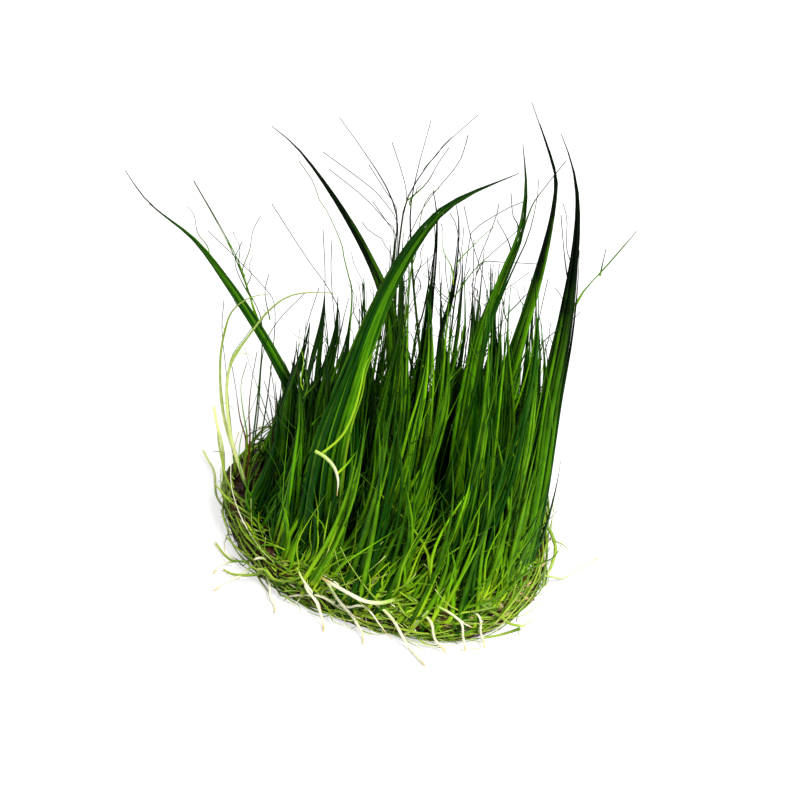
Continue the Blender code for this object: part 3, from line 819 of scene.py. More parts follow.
def makeMatBody():
    # The rim drawn as rings from the middle of the underside, round the wall and over the top.
    rings = [(share, 0.0) for share in rootMat["under"]] + list(rootMat["wall"])
    rings += [(share, rootMat["height"]) for share in rootMat["top"]]
    (share, height), *rest = rings
    bm = bmesh.new()
    angles = [360 * step / rootMat["segments"] for step in range(rootMat["segments"])]
    bm.faces.new([bm.verts.new(rimPoint(angle, (share - 1) * rimDistance(angle), height))
                  for angle in angles])
    edges = list(bm.edges)
    for share, height in rest:
        points, edges = drawUp(bm, edges)
        for vert in points:
            angle = fromMiddle(vert.co.x, vert.co.y)[1]
            bulge = rootMat["bulge"] if share > rootMat["bulgeFrom"] else 0
            bulge *= math.sin(math.radians(rootMat["bulges"] * angle) + height)
            vert.co = rimPoint(angle, (share - 1) * rimDistance(angle) + bulge, height)
    closeEnd(bm, edges)
    bm.normal_update()
    centre = Vector((*rootMat["centre"], 0))
    coarse, fine = rootMat["reliefSizes"]
    for vert in bm.verts:
        push = rootMat["relief"] * (feltRelief(vert.co, coarse) + 0.5 * feltRelief(vert.co, fine)
                                    - rootMat["reliefLevel"])
        if vert.co.z < 0.01:
            vert.co.z = max(0, rootMat["underRelief"] * feltRelief(vert.co, rootMat["underSize"]))
        elif vert.co.z > rootMat["topFrom"]:
            vert.co.z += push
        else:
            way = (vert.co - centre) * Vector((1, 1, 0))
            vert.co += way.normalized() * push
    bmesh.ops.scale(bm, vec=(mm,) * 3, verts=bm.verts)
    mesh = meshFrom(bm, "root_mat_body")
    mesh.shade_smooth()
    addPiece("root_mat_body", mesh, "soilDark", ("root_mat",))


# Fibres on the wall lie round it, hugging its belly; those on the top and underside lie flat.
fibres = {"wall": 520, "top": 420, "under": 260, "radius": (0.05, 0.13), "length": (4, 13),
          "heights": (0.5, 4.9), "limits": (0.15, 5.1), "fall": 0.35, "around": 22, "outside": (-0.1, 0.45),
          "wave": 0.4, "curl": 0.14, "belly": 2.5, "hug": 0.084, "off": 0.05,
          "edge": 1.2, "inset": 0.5, "bend": 1.6, "flatShare": 0.8, "flatSteps": 8,
          "topLift": (0.1, 1.6), "topOff": 0.15, "underOff": 0.16}


def wallFibre(chance):
    angle = chance.uniform(0, 360)
    length = chance.uniform(*fibres["length"])
    height = chance.uniform(*fibres["heights"])
    drop = chance.gauss(0, fibres["fall"]) * length
    swing = math.degrees(length / fibres["around"]) * chance.choice((-1, 1))
    outside = chance.uniform(*fibres["outside"])
    phase = chance.uniform(0, math.tau)
    low, high = fibres["limits"]
    line = []
    for t in np.linspace(0, 1, 9):
        z = min(max(height + drop * t + fibres["wave"] * math.sin(phase + 5 * t), low), high)
        off = fibres["off"] + fibres["curl"] * math.sin(phase + 7 * t)
        off -= fibres["hug"] * (z - fibres["belly"]) ** 2
        line.append(rimPoint(angle + swing * t, outside + off, z))
    return np.array(line)


def flatFibre(place, chance):
    angle = chance.uniform(0, 360)
    inside = math.sqrt(chance.random()) * (rimDistance(angle) - fibres["edge"])
    heading = chance.uniform(0, math.tau)
    bend = chance.gauss(0, fibres["bend"])
    steps = fibres["flatSteps"]
    stride = chance.uniform(*fibres["length"]) * fibres["flatShare"] / steps
    line = [rimPoint(angle, inside - rimDistance(angle), 0)]
    for _ in range(steps):
        heading += bend / steps
        line.append(line[-1] + np.array((math.cos(heading), math.sin(heading), 0)) * stride)
    line = np.array([(*insideRim(x, y, fibres["inset"]), fibres["underOff"]) for x, y, z in line])
    if place == "top":
        arch = 0.5 * np.sin(math.pi * np.linspace(0, 1, len(line)))
        line[:, 2] = rootMat["height"] + fibres["topOff"] + arch * chance.uniform(*fibres["topLift"])
    return line


def makeFibres(chance):
    blades = []
    for place in ("wall", "top", "under"):
        for _ in range(fibres[place]):
            line = wallFibre(chance) if place == "wall" else flatFibre(place, chance)
            blades.append((line, taper(chance.uniform(*fibres["radius"]), 9, 3.0), chance.random()))
    growBlades("root_mat_fibres", blades, "fibreBrown", sides=4, rings=9)
    return len(blades)


# Dark crumbs lie all over, more of them at the left; tan ones lie at the right of the front rim.
crumbs = {"dark": 420, "tan": 80, "size": (0.22, 0.62), "tanSize": (0.3, 0.7), "uneven": 0.8, "grain": 1.3,
          "stretch": ((0.7, 1.3), (0.7, 1.3), (0.6, 1.0)), "ground": 0.03,
          "aroundShare": 0.6, "left": (165, 25), "wallShare": 0.4, "heights": (0.8, 4.6), "edge": 1.0,
          "inset": 0.15, "belly": 2.5, "hug": 0.06, "rise": 0.25,
          "tanAngle": (318, 13), "tanHeight": (4.0, 1.6), "tanLimits": (1.0, 5.2), "tanTop": 4.4,
          "tanWallInset": 0.1, "tanTopInset": (0.5, 3.8)}


def makeCrumbs(name, finish, places, chance):
    # Small uneven lumps, each a fine ball pushed out of round.
    bm = bmesh.new()
    for place, size in places:
        made = bmesh.ops.create_icosphere(bm, subdivisions=2, radius=size)["verts"]
        stretch = Vector([chance.uniform(*span) for span in crumbs["stretch"]])
        seed = Vector((chance.uniform(0, 99), 0, 0))
        for vert in made:
            lump = noise.noise(vert.co / size * crumbs["grain"] + seed)
            vert.co = vert.co * stretch * (1 + crumbs["uneven"] * lump)
        bmesh.ops.translate(bm, verts=made, vec=place)
        for vert in made:
            vert.co.z = max(vert.co.z, crumbs["ground"])
    bmesh.ops.scale(bm, vec=(mm,) * 3, verts=bm.verts)
    mesh = meshFrom(bm, name)
    mesh.shade_smooth()
    addPiece(name, mesh, finish)


def strewCrumbs(chance):
    dark = []
    for _ in range(crumbs["dark"]):
        around = chance.random() < crumbs["aroundShare"]
        angle = chance.uniform(0, 360) if around else chance.gauss(*crumbs["left"])
        size = chance.uniform(*crumbs["size"])
        if chance.random() < crumbs["wallShare"]:
            height = chance.uniform(*crumbs["heights"])
            outside = -crumbs["inset"] - crumbs["hug"] * (height - crumbs["belly"]) ** 2
        else:
            outside = math.sqrt(chance.random()) * (rimDistance(angle) - crumbs["edge"]) - rimDistance(angle)
            height = rootMat["height"] + crumbs["rise"] * size
        dark.append((rimPoint(angle, outside, height), size))
    makeCrumbs("soil_crumbs", "crumbDark", dark, chance)
    tan = []
    for _ in range(crumbs["tan"]):
        angle = chance.gauss(*crumbs["tanAngle"])
        height = within(chance, *crumbs["tanHeight"], *crumbs["tanLimits"])
        onTop = height >= crumbs["tanTop"]
        inset = chance.uniform(*crumbs["tanTopInset"]) if onTop else crumbs["tanWallInset"]
        tan.append((rimPoint(angle, -inset, height), chance.uniform(*crumbs["tanSize"])))
    makeCrumbs("pale_crumbs", "crumbTan", tan, chance)


makeMatBody()
fibreCount = makeFibres(random.Random("fibres"))
strewCrumbs(random.Random("crumbs"))
print("root mat made with", fibreCount, "fibres")


# Runners and roots: the radius, and the route. Those at the rim pass points of (angle, distance
# outside the mat's rim, height).

loopRunners = {
    "runner_loop_outer": (0.34, ((-20.8, 8.6, 5.0), (-22.4, 9.2, 13), (-22.4, 9, 23), (-21.2, 8.5, 29.5),
        (-19.9, 8, 32.6), (-17.5, 7.2, 35), (-14.7, 6.6, 36))),
    "runner_loop_inner": (0.34, ((-19.6, 4.6, 5.0), (-21.3, 5.6, 13.5), (-21.0, 5.6, 24), (-17.2, 5, 31.4),
        (-14.3, 4.4, 35.6), (-11.6, 3.8, 37.8), (-8.1, 2.9, 38.8), (-5.5, 2.2, 39))),
}
rimRunners = {
    "runner_left_rim": (0.32, ((141, 6.8, 9), (144, 4.8, 7.4), (147, 3.0, 5.6), (152, 1.4, 4.0),
        (157, 0.8, 2.8), (163, 0.6, 1.8))),
    "runner_front_white": (0.38, ((231, -2.4, 6.0), (240, -1.6, 6.2), (250, -1.3, 6.2), (262, -1.7, 6.2),
        (274, -2.2, 5.8))),
    "runner_front_right": (0.32, ((306, -0.4, 5.7), (309, 1.2, 4.6), (313, 2.2, 2.6), (318, 3.0, 1.2))),
    "runner_right_curl": (0.38, ((357, -0.6, 5.3), (356, 1.0, 4.6), (352, 1.9, 3.0), (347, 1.5, 1.6),
        (343, 1.0, 0.7))),
    "root_left_back": (0.28, ((144, 8.0, 1.2), (147, 5.1, 0.6), (152, 3.2, 0.4), (157, 1.9, 0.4),
        (163, 0.6, 0.8))),
    "root_left_1": (0.26, ((195, 0.3, 1.8), (190, 1.6, 0.8), (185, 2.4, 0.45), (179, 3.2, 0.4))),
    "root_left_2": (0.26, ((200, 0.3, 2.6), (198, 2.0, 1.0), (196, 3.0, 0.5), (193, 4.0, 0.4))),
    "root_front_1": (0.3, ((206, 0.3, 2.8), (213, 1.6, 1.2), (219, 2.6, 0.5), (223, 3.9, 0.4))),
    "root_front_2": (0.3, ((224, -1.0, 5.6), (232, 0.9, 4.6), (239, 1.5, 2.2), (243, 2.2, 0.7),
        (245, 3.4, 0.4))),
    "root_front_3": (0.32, ((234, -0.8, 5.8), (242, 0.0, 6.0), (250, 1.1, 4.2), (257, 1.3, 2.2),
        (261, 1.8, 0.8), (262, 3.4, 0.4))),
    "root_front_4": (0.34, ((262, -0.4, 5.6), (269, 0.7, 5.0), (275, 1.3, 3.0), (279, 1.9, 1.0),
        (281, 3.4, 0.45), (283, 5.4, 0.45))),
    "root_front_5": (0.3, ((283, -0.6, 5.6), (287, 1.0, 4.4), (289, 1.5, 1.8), (291, 2.6, 0.5))),
    "root_front_6": (0.28, ((294, -0.6, 5.6), (297, 1.1, 4.2), (298, 1.5, 1.6), (297, 2.6, 0.5))),
    "root_front_7": (0.28, ((301, -0.8, 5.6), (303.5, 1.0, 4.4), (304, 1.5, 1.8), (303, 2.8, 0.5))),
    "root_right": (0.24, ((339, 0.5, 2.2), (344, 3.0, 0.5), (350, 5.4, 0.4), (355, 8.0, 0.4))),
}

# loop and rim: the drawn thickness as a share of the solids'. loopDraw: how it changes along a
# loop. whitish: the runners that are whitish at their foot. A rootlet is a fine root at a joint.
runnerLook = {"loop": 0.45, "rim": 0.64, "loopDraw": (1.9, 0.6), "whitish": ("loop", "left_rim", "left_back"),
              "points": 60, "rings": 40, "waves": (9.0, 11.0, 8.0), "runnerWave": 0.06, "rootWave": 0.14,
              "knots": (0.1, 0.9), "tone": (0.4, 0.7), "knotWidth": 0.03, "knotSwell": 0.22, "thinner": 0.15,
              "tipFrom": 0.8, "tip": 0.45, "rootletFall": -0.4, "rootletReach": (1.2, 3.0),
              "rootletRise": 0.2, "rootletShare": 0.35, "rootletTone": (0, 0.3)}


def knuckled(radius, count, knots):
    # Radii of a runner: even, with a slight swelling at each joint and a blunt young tip.
    along = np.linspace(0, 1, count)
    swell = sum(np.exp(-((along - knot) / runnerLook["knotWidth"]) ** 2) for knot in knots)
    tipFrom = runnerLook["tipFrom"]
    end = 1 - (1 - runnerLook["tip"]) * np.clip((along - tipFrom) / (1 - tipFrom), 0, 1) ** 2
    radii = radius * (1 - runnerLook["thinner"] * along) * (1 + runnerLook["knotSwell"] * swell) * end
    radii[-1] *= 0.5
    return radii


def makeRunner(node, radius, route, chance):
    pale, loop = node.startswith("runner"), "loop" in node
    radius *= runnerLook["loop" if loop else "rim"]
    count, rings = runnerLook["points"], runnerLook["rings"]
    line = smoothRoute(route, count)
    share = np.linspace(0, 1, count)[:, None]
    wave = np.sin(np.array(runnerLook["waves"]) * share + chance.uniform(0, 6)) * np.sin(math.pi * share)
    line = line + runnerLook["rootWave" if "root" in node else "runnerWave"] * wave
    knots = [chance.uniform(*runnerLook["knots"]) for _ in range(2 if pale else 1)]
    radii = knuckled(radius, rings, knots)
    if loop:
        radii = radii * np.linspace(*runnerLook["loopDraw"], rings)
    strands = [(line, radii, chance.uniform(*runnerLook["tone"]))]
    for knot in knots if pale else ():  # a fine rootlet from each joint
        start = line[int(knot * (count - 1))]
        way = unit(scatter(chance, 1, runnerLook["rootletFall"]))
        reach = chance.uniform(*runnerLook["rootletReach"])
        middle = start + way * reach * 0.5 + np.array((0, 0, runnerLook["rootletRise"]))
        strands.append((smoothRoute((start, middle, start + way * reach), 12),
                        taper(radius * runnerLook["rootletShare"], 12, 3.0),
                        chance.uniform(*runnerLook["rootletTone"])))
    whitish = any(part in node for part in runnerLook["whitish"])
    finish = "runnerLoop" if whitish else "runnerPale" if pale else "rootWhite"
    growBlades(node + "_strand", strands, finish,
               sides=8, rings=rings, flatness=1.0, nodes=(node,))


for node, (radius, route) in loopRunners.items():
    makeRunner(node, radius, route, random.Random(node))
for node, (radius, route) in rimRunners.items():
    makeRunner(node, radius, [rimPoint(*step) for step in route], random.Random(node))
print("runners and roots made:", len(loopRunners) + len(rimRunners))


# Fringe: blades that stand along the rim, outside the tufts, and lean as the tufts do

# heights: how high the leaves are at places across. The edges are where a change along Y or X
# begins and where it is full; rearShare and the leans say how much changes there. Between
# bareFrom and bareTo the rim is bare. Between wallFrom and wallTo some blades leave the wall.
fringe = {"front": (198, 350), "frontClumps": 44, "backClumps": 26, "blades": (2, 6),
          "outside": (-2.8, 0.0), "thickness": (0.25, 0.4), "stretch": (0.35, 1.0),
          "heights": ((-23, 12), (-17, 20), (-12, 28), (-7, 36), (0, 38), (8, 37), (14, 32), (22, 20)),
          "frontEdge": (-8, -20), "rearEdge": (-10, 14), "leftEdge": (0, -18), "rightEdge": (-5, 20),
          "rearShare": 0.34, "lean": 5.0, "frontLean": 10.5, "leftLean": 1.5, "rightLean": -5.0,
          "back": 3.0, "frontBack": 3.0, "lowLean": 0.4, "tone": (0.42, 0.26), "toneSpread": 0.15,
          "sway": (0.4, 1.25), "clumpWidth": 0.8, "inset": 0.2, "shorter": (0.7, 1.0), "gather": 0.7,
          "stray": 1.8, "bareFrom": 126, "bareTo": 180, "wallShare": 0.5, "wallFrom": 215, "wallTo": 312,
          "wallHeights": (1.0, 4.4), "wallWay": ((-4, 0.1, 0.0), (-1.5, 0.75, 1.0))}


def shareOfWay(value, start, full):
    return min(max((value - start) / (full - start), 0), 1)


def flowRoute(x, y, stretch, sway=1.0):
    # The way the leaves grow at a spot of the mat: over to +X first, then up.
    front = shareOfWay(y, *fringe["frontEdge"])
    right = shareOfWay(x, *fringe["rightEdge"])
    height = float(np.interp(x, *zip(*fringe["heights"]))) * stretch
    height *= 1 - fringe["rearShare"] * shareOfWay(y, *fringe["rearEdge"])
    lean = fringe["lean"] + fringe["frontLean"] * front * (1 - right) + fringe["rightLean"] * right
    lean += fringe["leftLean"] * shareOfWay(x, *fringe["leftEdge"])
    tip = np.array([lean, fringe["back"] + fringe["frontBack"] * front, height])
    tip[:2] *= (fringe["lowLean"] + (1 - fringe["lowLean"]) * stretch) * sway
    return leanRoute(np.array([x, y, tufts["matTop"]]), tip)


def fringeClump(angle, chance):
    middle = rimPoint(angle, chance.uniform(*fringe["outside"]), 0)
    stretch = chance.uniform(*fringe["stretch"])
    tone = chance.gauss(*fringe["tone"])
    sway = chance.uniform(*fringe["sway"])
    share = np.linspace(0, 1, 24)[:, None]
    blades = []
    for _ in range(chance.randint(*fringe["blades"])):
        x, y = (value + chance.gauss(0, fringe["clumpWidth"]) for value in middle[:2])
        x, y = insideRim(x, y, fringe["inset"])
        route = flowRoute(x, y, stretch * chance.uniform(*fringe["shorter"]), sway)
        turn = fromMiddle(x, y)[1] % 360
        fromWall = fringe["wallFrom"] < turn < fringe["wallTo"] and chance.random() < fringe["wallShare"]
        if fromWall:  # this blade comes out of the mat's wall
            height = chance.uniform(*fringe["wallHeights"])
            route[:1] = [rimPoint(turn + back, out, height + up) for back, out, up in fringe["wallWay"]]
        line = smoothRoute(route, 24) + share * np.array([middle[0] - x, middle[1] - y, 0]) * fringe["gather"]
        line = line + share ** 2 * scatter(chance, fringe["stray"])
        blades.append((line if fromWall else settle(line), taper(chance.uniform(*fringe["thickness"])),
                       within(chance, tone, fringe["toneSpread"])))
    return blades


def growFringe():
    chance = random.Random("fringe")
    start, end = fringe["front"]
    for name, finish, count, first, last in (
            ("front_fringe", "leafFresh", fringe["frontClumps"], start, end),
            ("back_fringe", "leafGreen", fringe["backClumps"], end - 360, start)):
        blades = []
        for step in range(count):
            angle = first + (last - first) * (step + chance.random()) / count
            if not fringe["bareFrom"] < angle < fringe["bareTo"]:
                blades += fringeClump(angle, chance)
        growBlades(name, blades, finish)


growFringe()
print("fringe grown")


# Tangle of young runners and roots along the rim

# Strands over the rim start on the collar and end at rimLevel. Strands on the wall wander up and
# down between the heights of wall; some lift off it at their young end, some rise and draw in.
tangle = {"front": (200, 345), "frontShare": 0.7, "length": (5, 22), "around": 21, "radius": (0.08, 0.2),
          "rimShare": 0.7, "collar": (-4.2, -0.6), "collarHeight": (5.2, 7.4), "rimDrop": (-0.8, 3.2),
          "rimLevel": 5.4, "rimEdge": -0.6, "rimFall": 2.6, "rimFallPower": 1.4, "rimMost": 1.3,
          "rimLeast": 0.6, "wall": (0.6, 5.3), "climb": 2.0, "wander": (0.3, 1.3), "depth": (0.1, 0.9),
          "belly": 2.2, "hug": 0.09, "liftShare": 0.2, "lift": (0.4, 2.4), "riseShare": 0.4,
          "rise": (2.0, 9.0), "draw": (0.5, 2.5), "ground": 0.3}
# Each bundle: its finish, its slot, how many strands lie over the rim and how many on the wall.
bundles = {"rim_runners": ("runnerPale", "runner", 70, 50), "wall_runners": ("runnerLime", "runner", 80, 80),
           "rim_roots": ("rootWhite", "root", 16, 14), "rim_stems": ("leafLime", "lime_leaf", 50, 20)}


def startStrand(chance, lengthShare=1.0):
    # Where along the rim a strand starts, more often in front, and how far round it swings.
    inFront = chance.random() < tangle["frontShare"]
    angle = chance.uniform(*tangle["front"]) if inFront else chance.uniform(0, 360)
    length = chance.uniform(*tangle["length"]) * lengthShare
    return angle, math.degrees(length / tangle["around"]) * chance.choice((-1, 1, 1))


def rimStrand(chance):
    # A strand that starts on top of the mat, crosses the rim and hangs down over it.
    angle, swing = startStrand(chance, tangle["rimShare"])
    start = chance.uniform(*tangle["collar"])
    drop = chance.uniform(*tangle["rimDrop"])
    level = chance.uniform(*tangle["collarHeight"])
    phase = chance.uniform(0, math.tau)
    line = []
    for t in np.linspace(0, 1, 10):
        outside = start + drop * t ** 1.5 + 0.3 * math.sin(phase + 6 * t)
        height = level + (tangle["rimLevel"] - level) * t + 0.5 * math.sin(phase + 4 * t)
        height -= tangle["rimFall"] * max(outside - tangle["rimEdge"], 0) ** tangle["rimFallPower"]
        line.append(rimPoint(angle + swing * t, min(outside, tangle["rimMost"]),
                             max(height, tangle["rimLeast"])))
    return np.array(line), taper(chance.uniform(*tangle["radius"]), 12, 3.5, 0.05), chance.random()


def wallStrand(chance):
    # A strand that wanders along the mat's wall; some lift off it at their young end.
    angle, swing = startStrand(chance)
    low, high = tangle["wall"]
    height = chance.uniform(low, high)
    climb = chance.gauss(0, tangle["climb"])
    wander = chance.uniform(*tangle["wander"])
    depth = chance.uniform(*tangle["depth"])
    turn = chance.random()
    lift = chance.uniform(*tangle["lift"]) if turn < tangle["liftShare"] else 0
    rising = 0 < turn - tangle["liftShare"] < tangle["riseShare"]
    rise, draw = (chance.uniform(*tangle[part]) if rising else 0 for part in ("rise", "draw"))
    phase = chance.uniform(0, math.tau)
    line = []
    for t in np.linspace(0, 1, 14):
        z = height + climb * t + wander * math.sin(phase + 6 * t) + 0.3 * math.sin(3 * phase + 13 * t)
        z = min(max(z, low), high)
        outside = depth - tangle["hug"] * (z - tangle["belly"]) ** 2 + 0.3 * math.sin(phase + 8 * t)
        line.append(rimPoint(angle + swing * t, outside + (lift - draw) * t ** 3,
                             max(z + rise * t ** 3, tangle["ground"])))
    return np.array(line), taper(chance.uniform(*tangle["radius"]), 12, 3.0, 0.05), chance.random()


for name, (finish, slot, overRim, alongWall) in bundles.items():
    chance = random.Random(name)
    strands = [rimStrand(chance) for _ in range(overRim)] + [wallStrand(chance) for _ in range(alongWall)]
    growBlades(name, strands, finish, sides=5, rings=14, flatness=1.0)
print("rim tangle made")


# Young shoots that stand up out of the front rim and cross the leaves behind them

shoots = {"count": 150, "angles": (205, 322), "outside": (-1.8, 0.5), "wallFrom": -0.3, "heights": (1.2, 5.0),
          "sunk": 0.4, "length": (6, 21), "radius": (0.12, 0.24), "lean": (0.5, 0.32), "back": (0.25, 0.25),
          "up": 0.8, "rightFrom": 4, "rightFull": 19, "rightTurn": 1.1, "reach": (0.3, 0.35, 0.75),
          "bend": (0.16, 0.1), "limeShare": 0.4, "tone": (0.4, 1.0)}


def shootLine(chance):
    angle = chance.uniform(*shoots["angles"])
    outside = chance.uniform(*shoots["outside"])
    fromWall = outside > shoots["wallFrom"]
    height = chance.uniform(*shoots["heights"]) if fromWall else rootMat["height"] - shoots["sunk"]
    start = rimPoint(angle, outside, height)
    alongRim = unit(rimPoint(angle + 4, outside, height) - start)
    right = shareOfWay(start[0], shoots["rightFrom"], shoots["rightFull"])
    lean = chance.gauss(*shoots["lean"]) * (1 - shoots["rightTurn"] * right)
    way = unit(np.array([lean, chance.gauss(*shoots["back"]), shoots["up"]]))
    length = chance.uniform(*shoots["length"])
    first, second, third = (share * length for share in shoots["reach"])
    near = start + (alongRim * 0.5 + way * 0.5) * first
    bend = np.array([*(chance.gauss(0, spread) for spread in shoots["bend"]), 0]) * length
    return settleRight(smoothRoute([start, near, near + way * second, near + way * third + bend], 20))


def growShoots(chance):
    fresh, lime = [], []
    for _ in range(shoots["count"]):
        bundle = lime if chance.random() < shoots["limeShare"] else fresh
        bundle.append((shootLine(chance), taper(chance.uniform(*shoots["radius"]), 16, 1.8, 0.05),
                       chance.uniform(*shoots["tone"])))
    growBlades("rim_shoots_green", fresh, "leafFresh")
    growBlades("rim_shoots_lime", lime, "leafLime")


growShoots(random.Random("shoots"))
print("shoots grown")


# Loose hairs and single blades between the locks. Each one: how far back it stands, its radius
# at the foot, its tone, and the pixels of the picture that it passes, from the tip down.

hairs = {
    "leafHair": {
        "fanLeftMiddle": (12, 0.13, 0.2, ((323, 152), (360, 179), (378, 194), (392, 213), (398, 235))),
        "fanLeftLow": (13, 0.1, 0.4, ((329, 169), (366, 199), (386, 222), (396, 240))),
        "fanShort": (13, 0.11, 0.3, ((369, 165), (378, 179), (388, 196), (397, 222))),
        "fanCentre": (11, 0.12, 0.4, ((392, 142), (403, 176), (407, 199), (402, 225))),
        "fanOuter": (9, 0.13, 0.4, ((468, 135), (460, 161), (439, 187), (425, 205), (412, 230),
            (405, 255))),
        "fanLeftKink": (12, 0.13, 0.2, ((373, 202), (387, 222), (391, 229), (394, 245))),
        "fanLeftHook": (12, 0.12, 0.2, ((362, 222), (369, 231), (384, 240), (385, 247), (390, 262))),
        "uprightOne": (10, 0.13, 0.4, ((323, 229), (325, 270), (325, 310), (328, 350))),
        "uprightTwo": (9, 0.13, 0.4, ((332, 240), (331, 265), (332, 290), (335, 340))),
        "leftLong": (11, 0.13, 0.3, ((272, 204), (293, 237), (313, 267), (328, 288), (340, 320))),
        "farLeftHair": (13, 0.12, 0.4, ((194, 181), (223, 231), (235, 258), (248, 290), (262, 325))),
        "farLeftSide": (13, 0.1, 0.4, ((208, 231), (225, 247), (238, 260), (262, 285), (275, 310))),
        "farLeftTwig": (13, 0.09, 0.4, ((242, 242), (235, 260), (240, 278), (252, 300))),
        "loopTwig": (9, 0.09, 0.4, ((269, 274), (265, 293), (270, 320))),
        "leftSlant": (9, 0.11, 0.3, ((305, 293), (283, 315), (269, 335), (262, 360))),
        "leftDark": (6, 0.16, 0.1, ((319, 288), (308, 322), (303, 349), (305, 370))),
        "leftFaint": (9, 0.09, 0.5, ((224, 300), (222, 331), (226, 370))),
        "archTwig": (2, 0.1, 0.3, ((523, 202), (512, 206), (496, 215), (475, 229), (468, 250))),
        "gapHairOne": (4, 0.13, 0.3, ((499, 204), (496, 217), (487, 240), (479, 260), (474, 290))),
        "gapHairTwo": (3, 0.11, 0.3, ((497, 220), (509, 243), (512, 262))),
        "innerHair": (3, 0.11, 0.3, ((511, 193), (513, 215), (518, 226), (516, 245))),
        "rightHair": (3, 0.12, 0.5, ((566, 161), (553, 177), (539, 195), (532, 206), (525, 225),
            (518, 250))),
        "gapHairThree": (4, 0.14, 0.6, ((464, 206), (471, 238), (478, 261), (486, 288), (488, 315))),
        "gapHairFour": (4, 0.13, 0.3, ((445, 254), (446, 276), (450, 304), (447, 331))),
        "crossHair": (3, 0.13, 0.2, ((470, 268), (462, 286), (459, 310), (450, 343))),
        "edgeHair": (-7, 0.11, 0.2, ((561, 215), (563, 240), (566, 268), (571, 298))),
        "edgeDark": (3, 0.16, 0.1, ((548, 279), (541, 310), (536, 338))),
        "sideHair": (-1, 0.11, 0.5, ((606, 249), (603, 262), (600, 276))),
        "levelHair": (6, 0.08, 0.3, ((538, 264), (520, 263), (500, 262), (484, 262), (476, 275))),
    },
    "leafDark": {
        "darkUprightOne": (3, 0.24, 0.2, ((450, 213), (457, 227), (459, 251), (461, 268), (455, 300),
            (450, 340))),
        "darkUprightTwo": (3, 0.26, 0.5, ((434, 218), (435, 245), (430, 276), (423, 313), (415, 340))),
        "darkUprightThree": (4, 0.26, 0.6, ((474, 240), (473, 280), (470, 340))),
        "darkUprightFour": (0, 0.22, 0.3, ((390, 245), (392, 270), (389, 300), (386, 340))),
        "darkUprightFive": (-2, 0.3, 0.9, ((441, 283), (441, 330), (440, 380), (436, 430))),
    },
    "leafLime": {
        "fanLime": (8, 0.17, 0.7, ((439, 188), (428, 197), (421, 215), (417, 245), (410, 275))),
        "middleLime": (2, 0.22, 0.4, ((413, 250), (411, 275), (408, 305), (403, 345))),
        "leftWisp": (9, 0.2, 0.3, ((299, 161), (316, 186), (317, 197), (328, 213), (342, 245), (344, 258),
            (348, 274), (352, 300))),
        "leftLimeFan": (8, 0.15, 0.5, ((258, 320), (246, 336), (232, 356), (227, 385), (230, 420))),
        "innerLime": (0, 0.26, 0.6, ((520, 245), (508, 270), (494, 305), (478, 345), (468, 380))),
        "innerLimeLow": (-2, 0.24, 0.8, ((492, 340), (481, 365), (474, 395), (470, 430))),
        "frontLime": (-12, 0.24, 0.5, ((398, 318), (386, 336), (368, 366), (362, 395), (352, 425),
            (345, 460))),
        "leftGroundLime": (6, 0.16, 0.5, ((247, 362), (241, 385), (243, 410), (247, 435))),
    },
    "leafWithered": {
        "leftRed": (5, 0.16, 0.6, ((299, 343), (297, 370), (300, 400))),
        "leftRedShort": (5, 0.2, 0.1, ((264, 381), (268, 393), (271, 408), (273, 428))),
        "leftRedLow": (5, 0.18, 0.1, ((257, 401), (262, 413), (268, 424), (273, 436))),
        "leftBrownOne": (6, 0.16, 0.8, ((232, 366), (236, 390), (240, 418), (246, 440))),
        "leftBrownTwo": (6, 0.15, 0.8, ((257, 352), (252, 380), (249, 410), (250, 436))),
        "leftBrownThree": (4, 0.16, 0.9, ((270, 366), (274, 390), (276, 415), (278, 440))),
        "rightBrown": (-6, 0.16, 0.9, ((461, 430), (455, 448), (449, 468), (444, 490))),
    },
}
twigs = ("farLeftTwig", "loopTwig", "edgeHair", "gapHairTwo", "innerHair", "rightHair", "sideHair",
         "levelHair")  # these leave another blade, and don't reach down to the mat
hairLook = {"thicker": 1.15, "tip": 0.055, "towards": (0.14, 0.08), "inset": 1.2, "between": (0.62, 0.5, 0.5)}


def hairLine(name, depth, route):
    # The drawn part, and below it a way down into the mat, except for a twig of another blade.
    points = [fromPicture(across, down, depth) for across, down in reversed(route)]
    if name in twigs:
        return smoothRoute(points, 40)
    foot = points[0]
    drop = foot[2] - rootMat["height"]
    x, y = (value - drop * share for value, share in zip(foot, hairLook["towards"]))
    ground = np.array([*insideRim(x, y, hairLook["inset"]), tufts["matTop"]])
    between = ground + (foot - ground) * np.array(hairLook["between"])
    return smoothRoute([ground, between, *points], 40)


for finish, group in hairs.items():
    strands = [(hairLine(name, depth, route),
                taper(radius * hairLook["thicker"], 30, 1.3, hairLook["tip"], 1.0), tone)
               for name, (depth, radius, tone, route) in group.items()]
    growBlades("hairs_" + finish, strands, finish, sides=5, rings=34)
print("loose hairs grown")


# Short locks that fill the left shoulder and the root of the arching lock. Each one: how far back
# it stands, its radius, its tone, and the pixels of the picture that it passes.

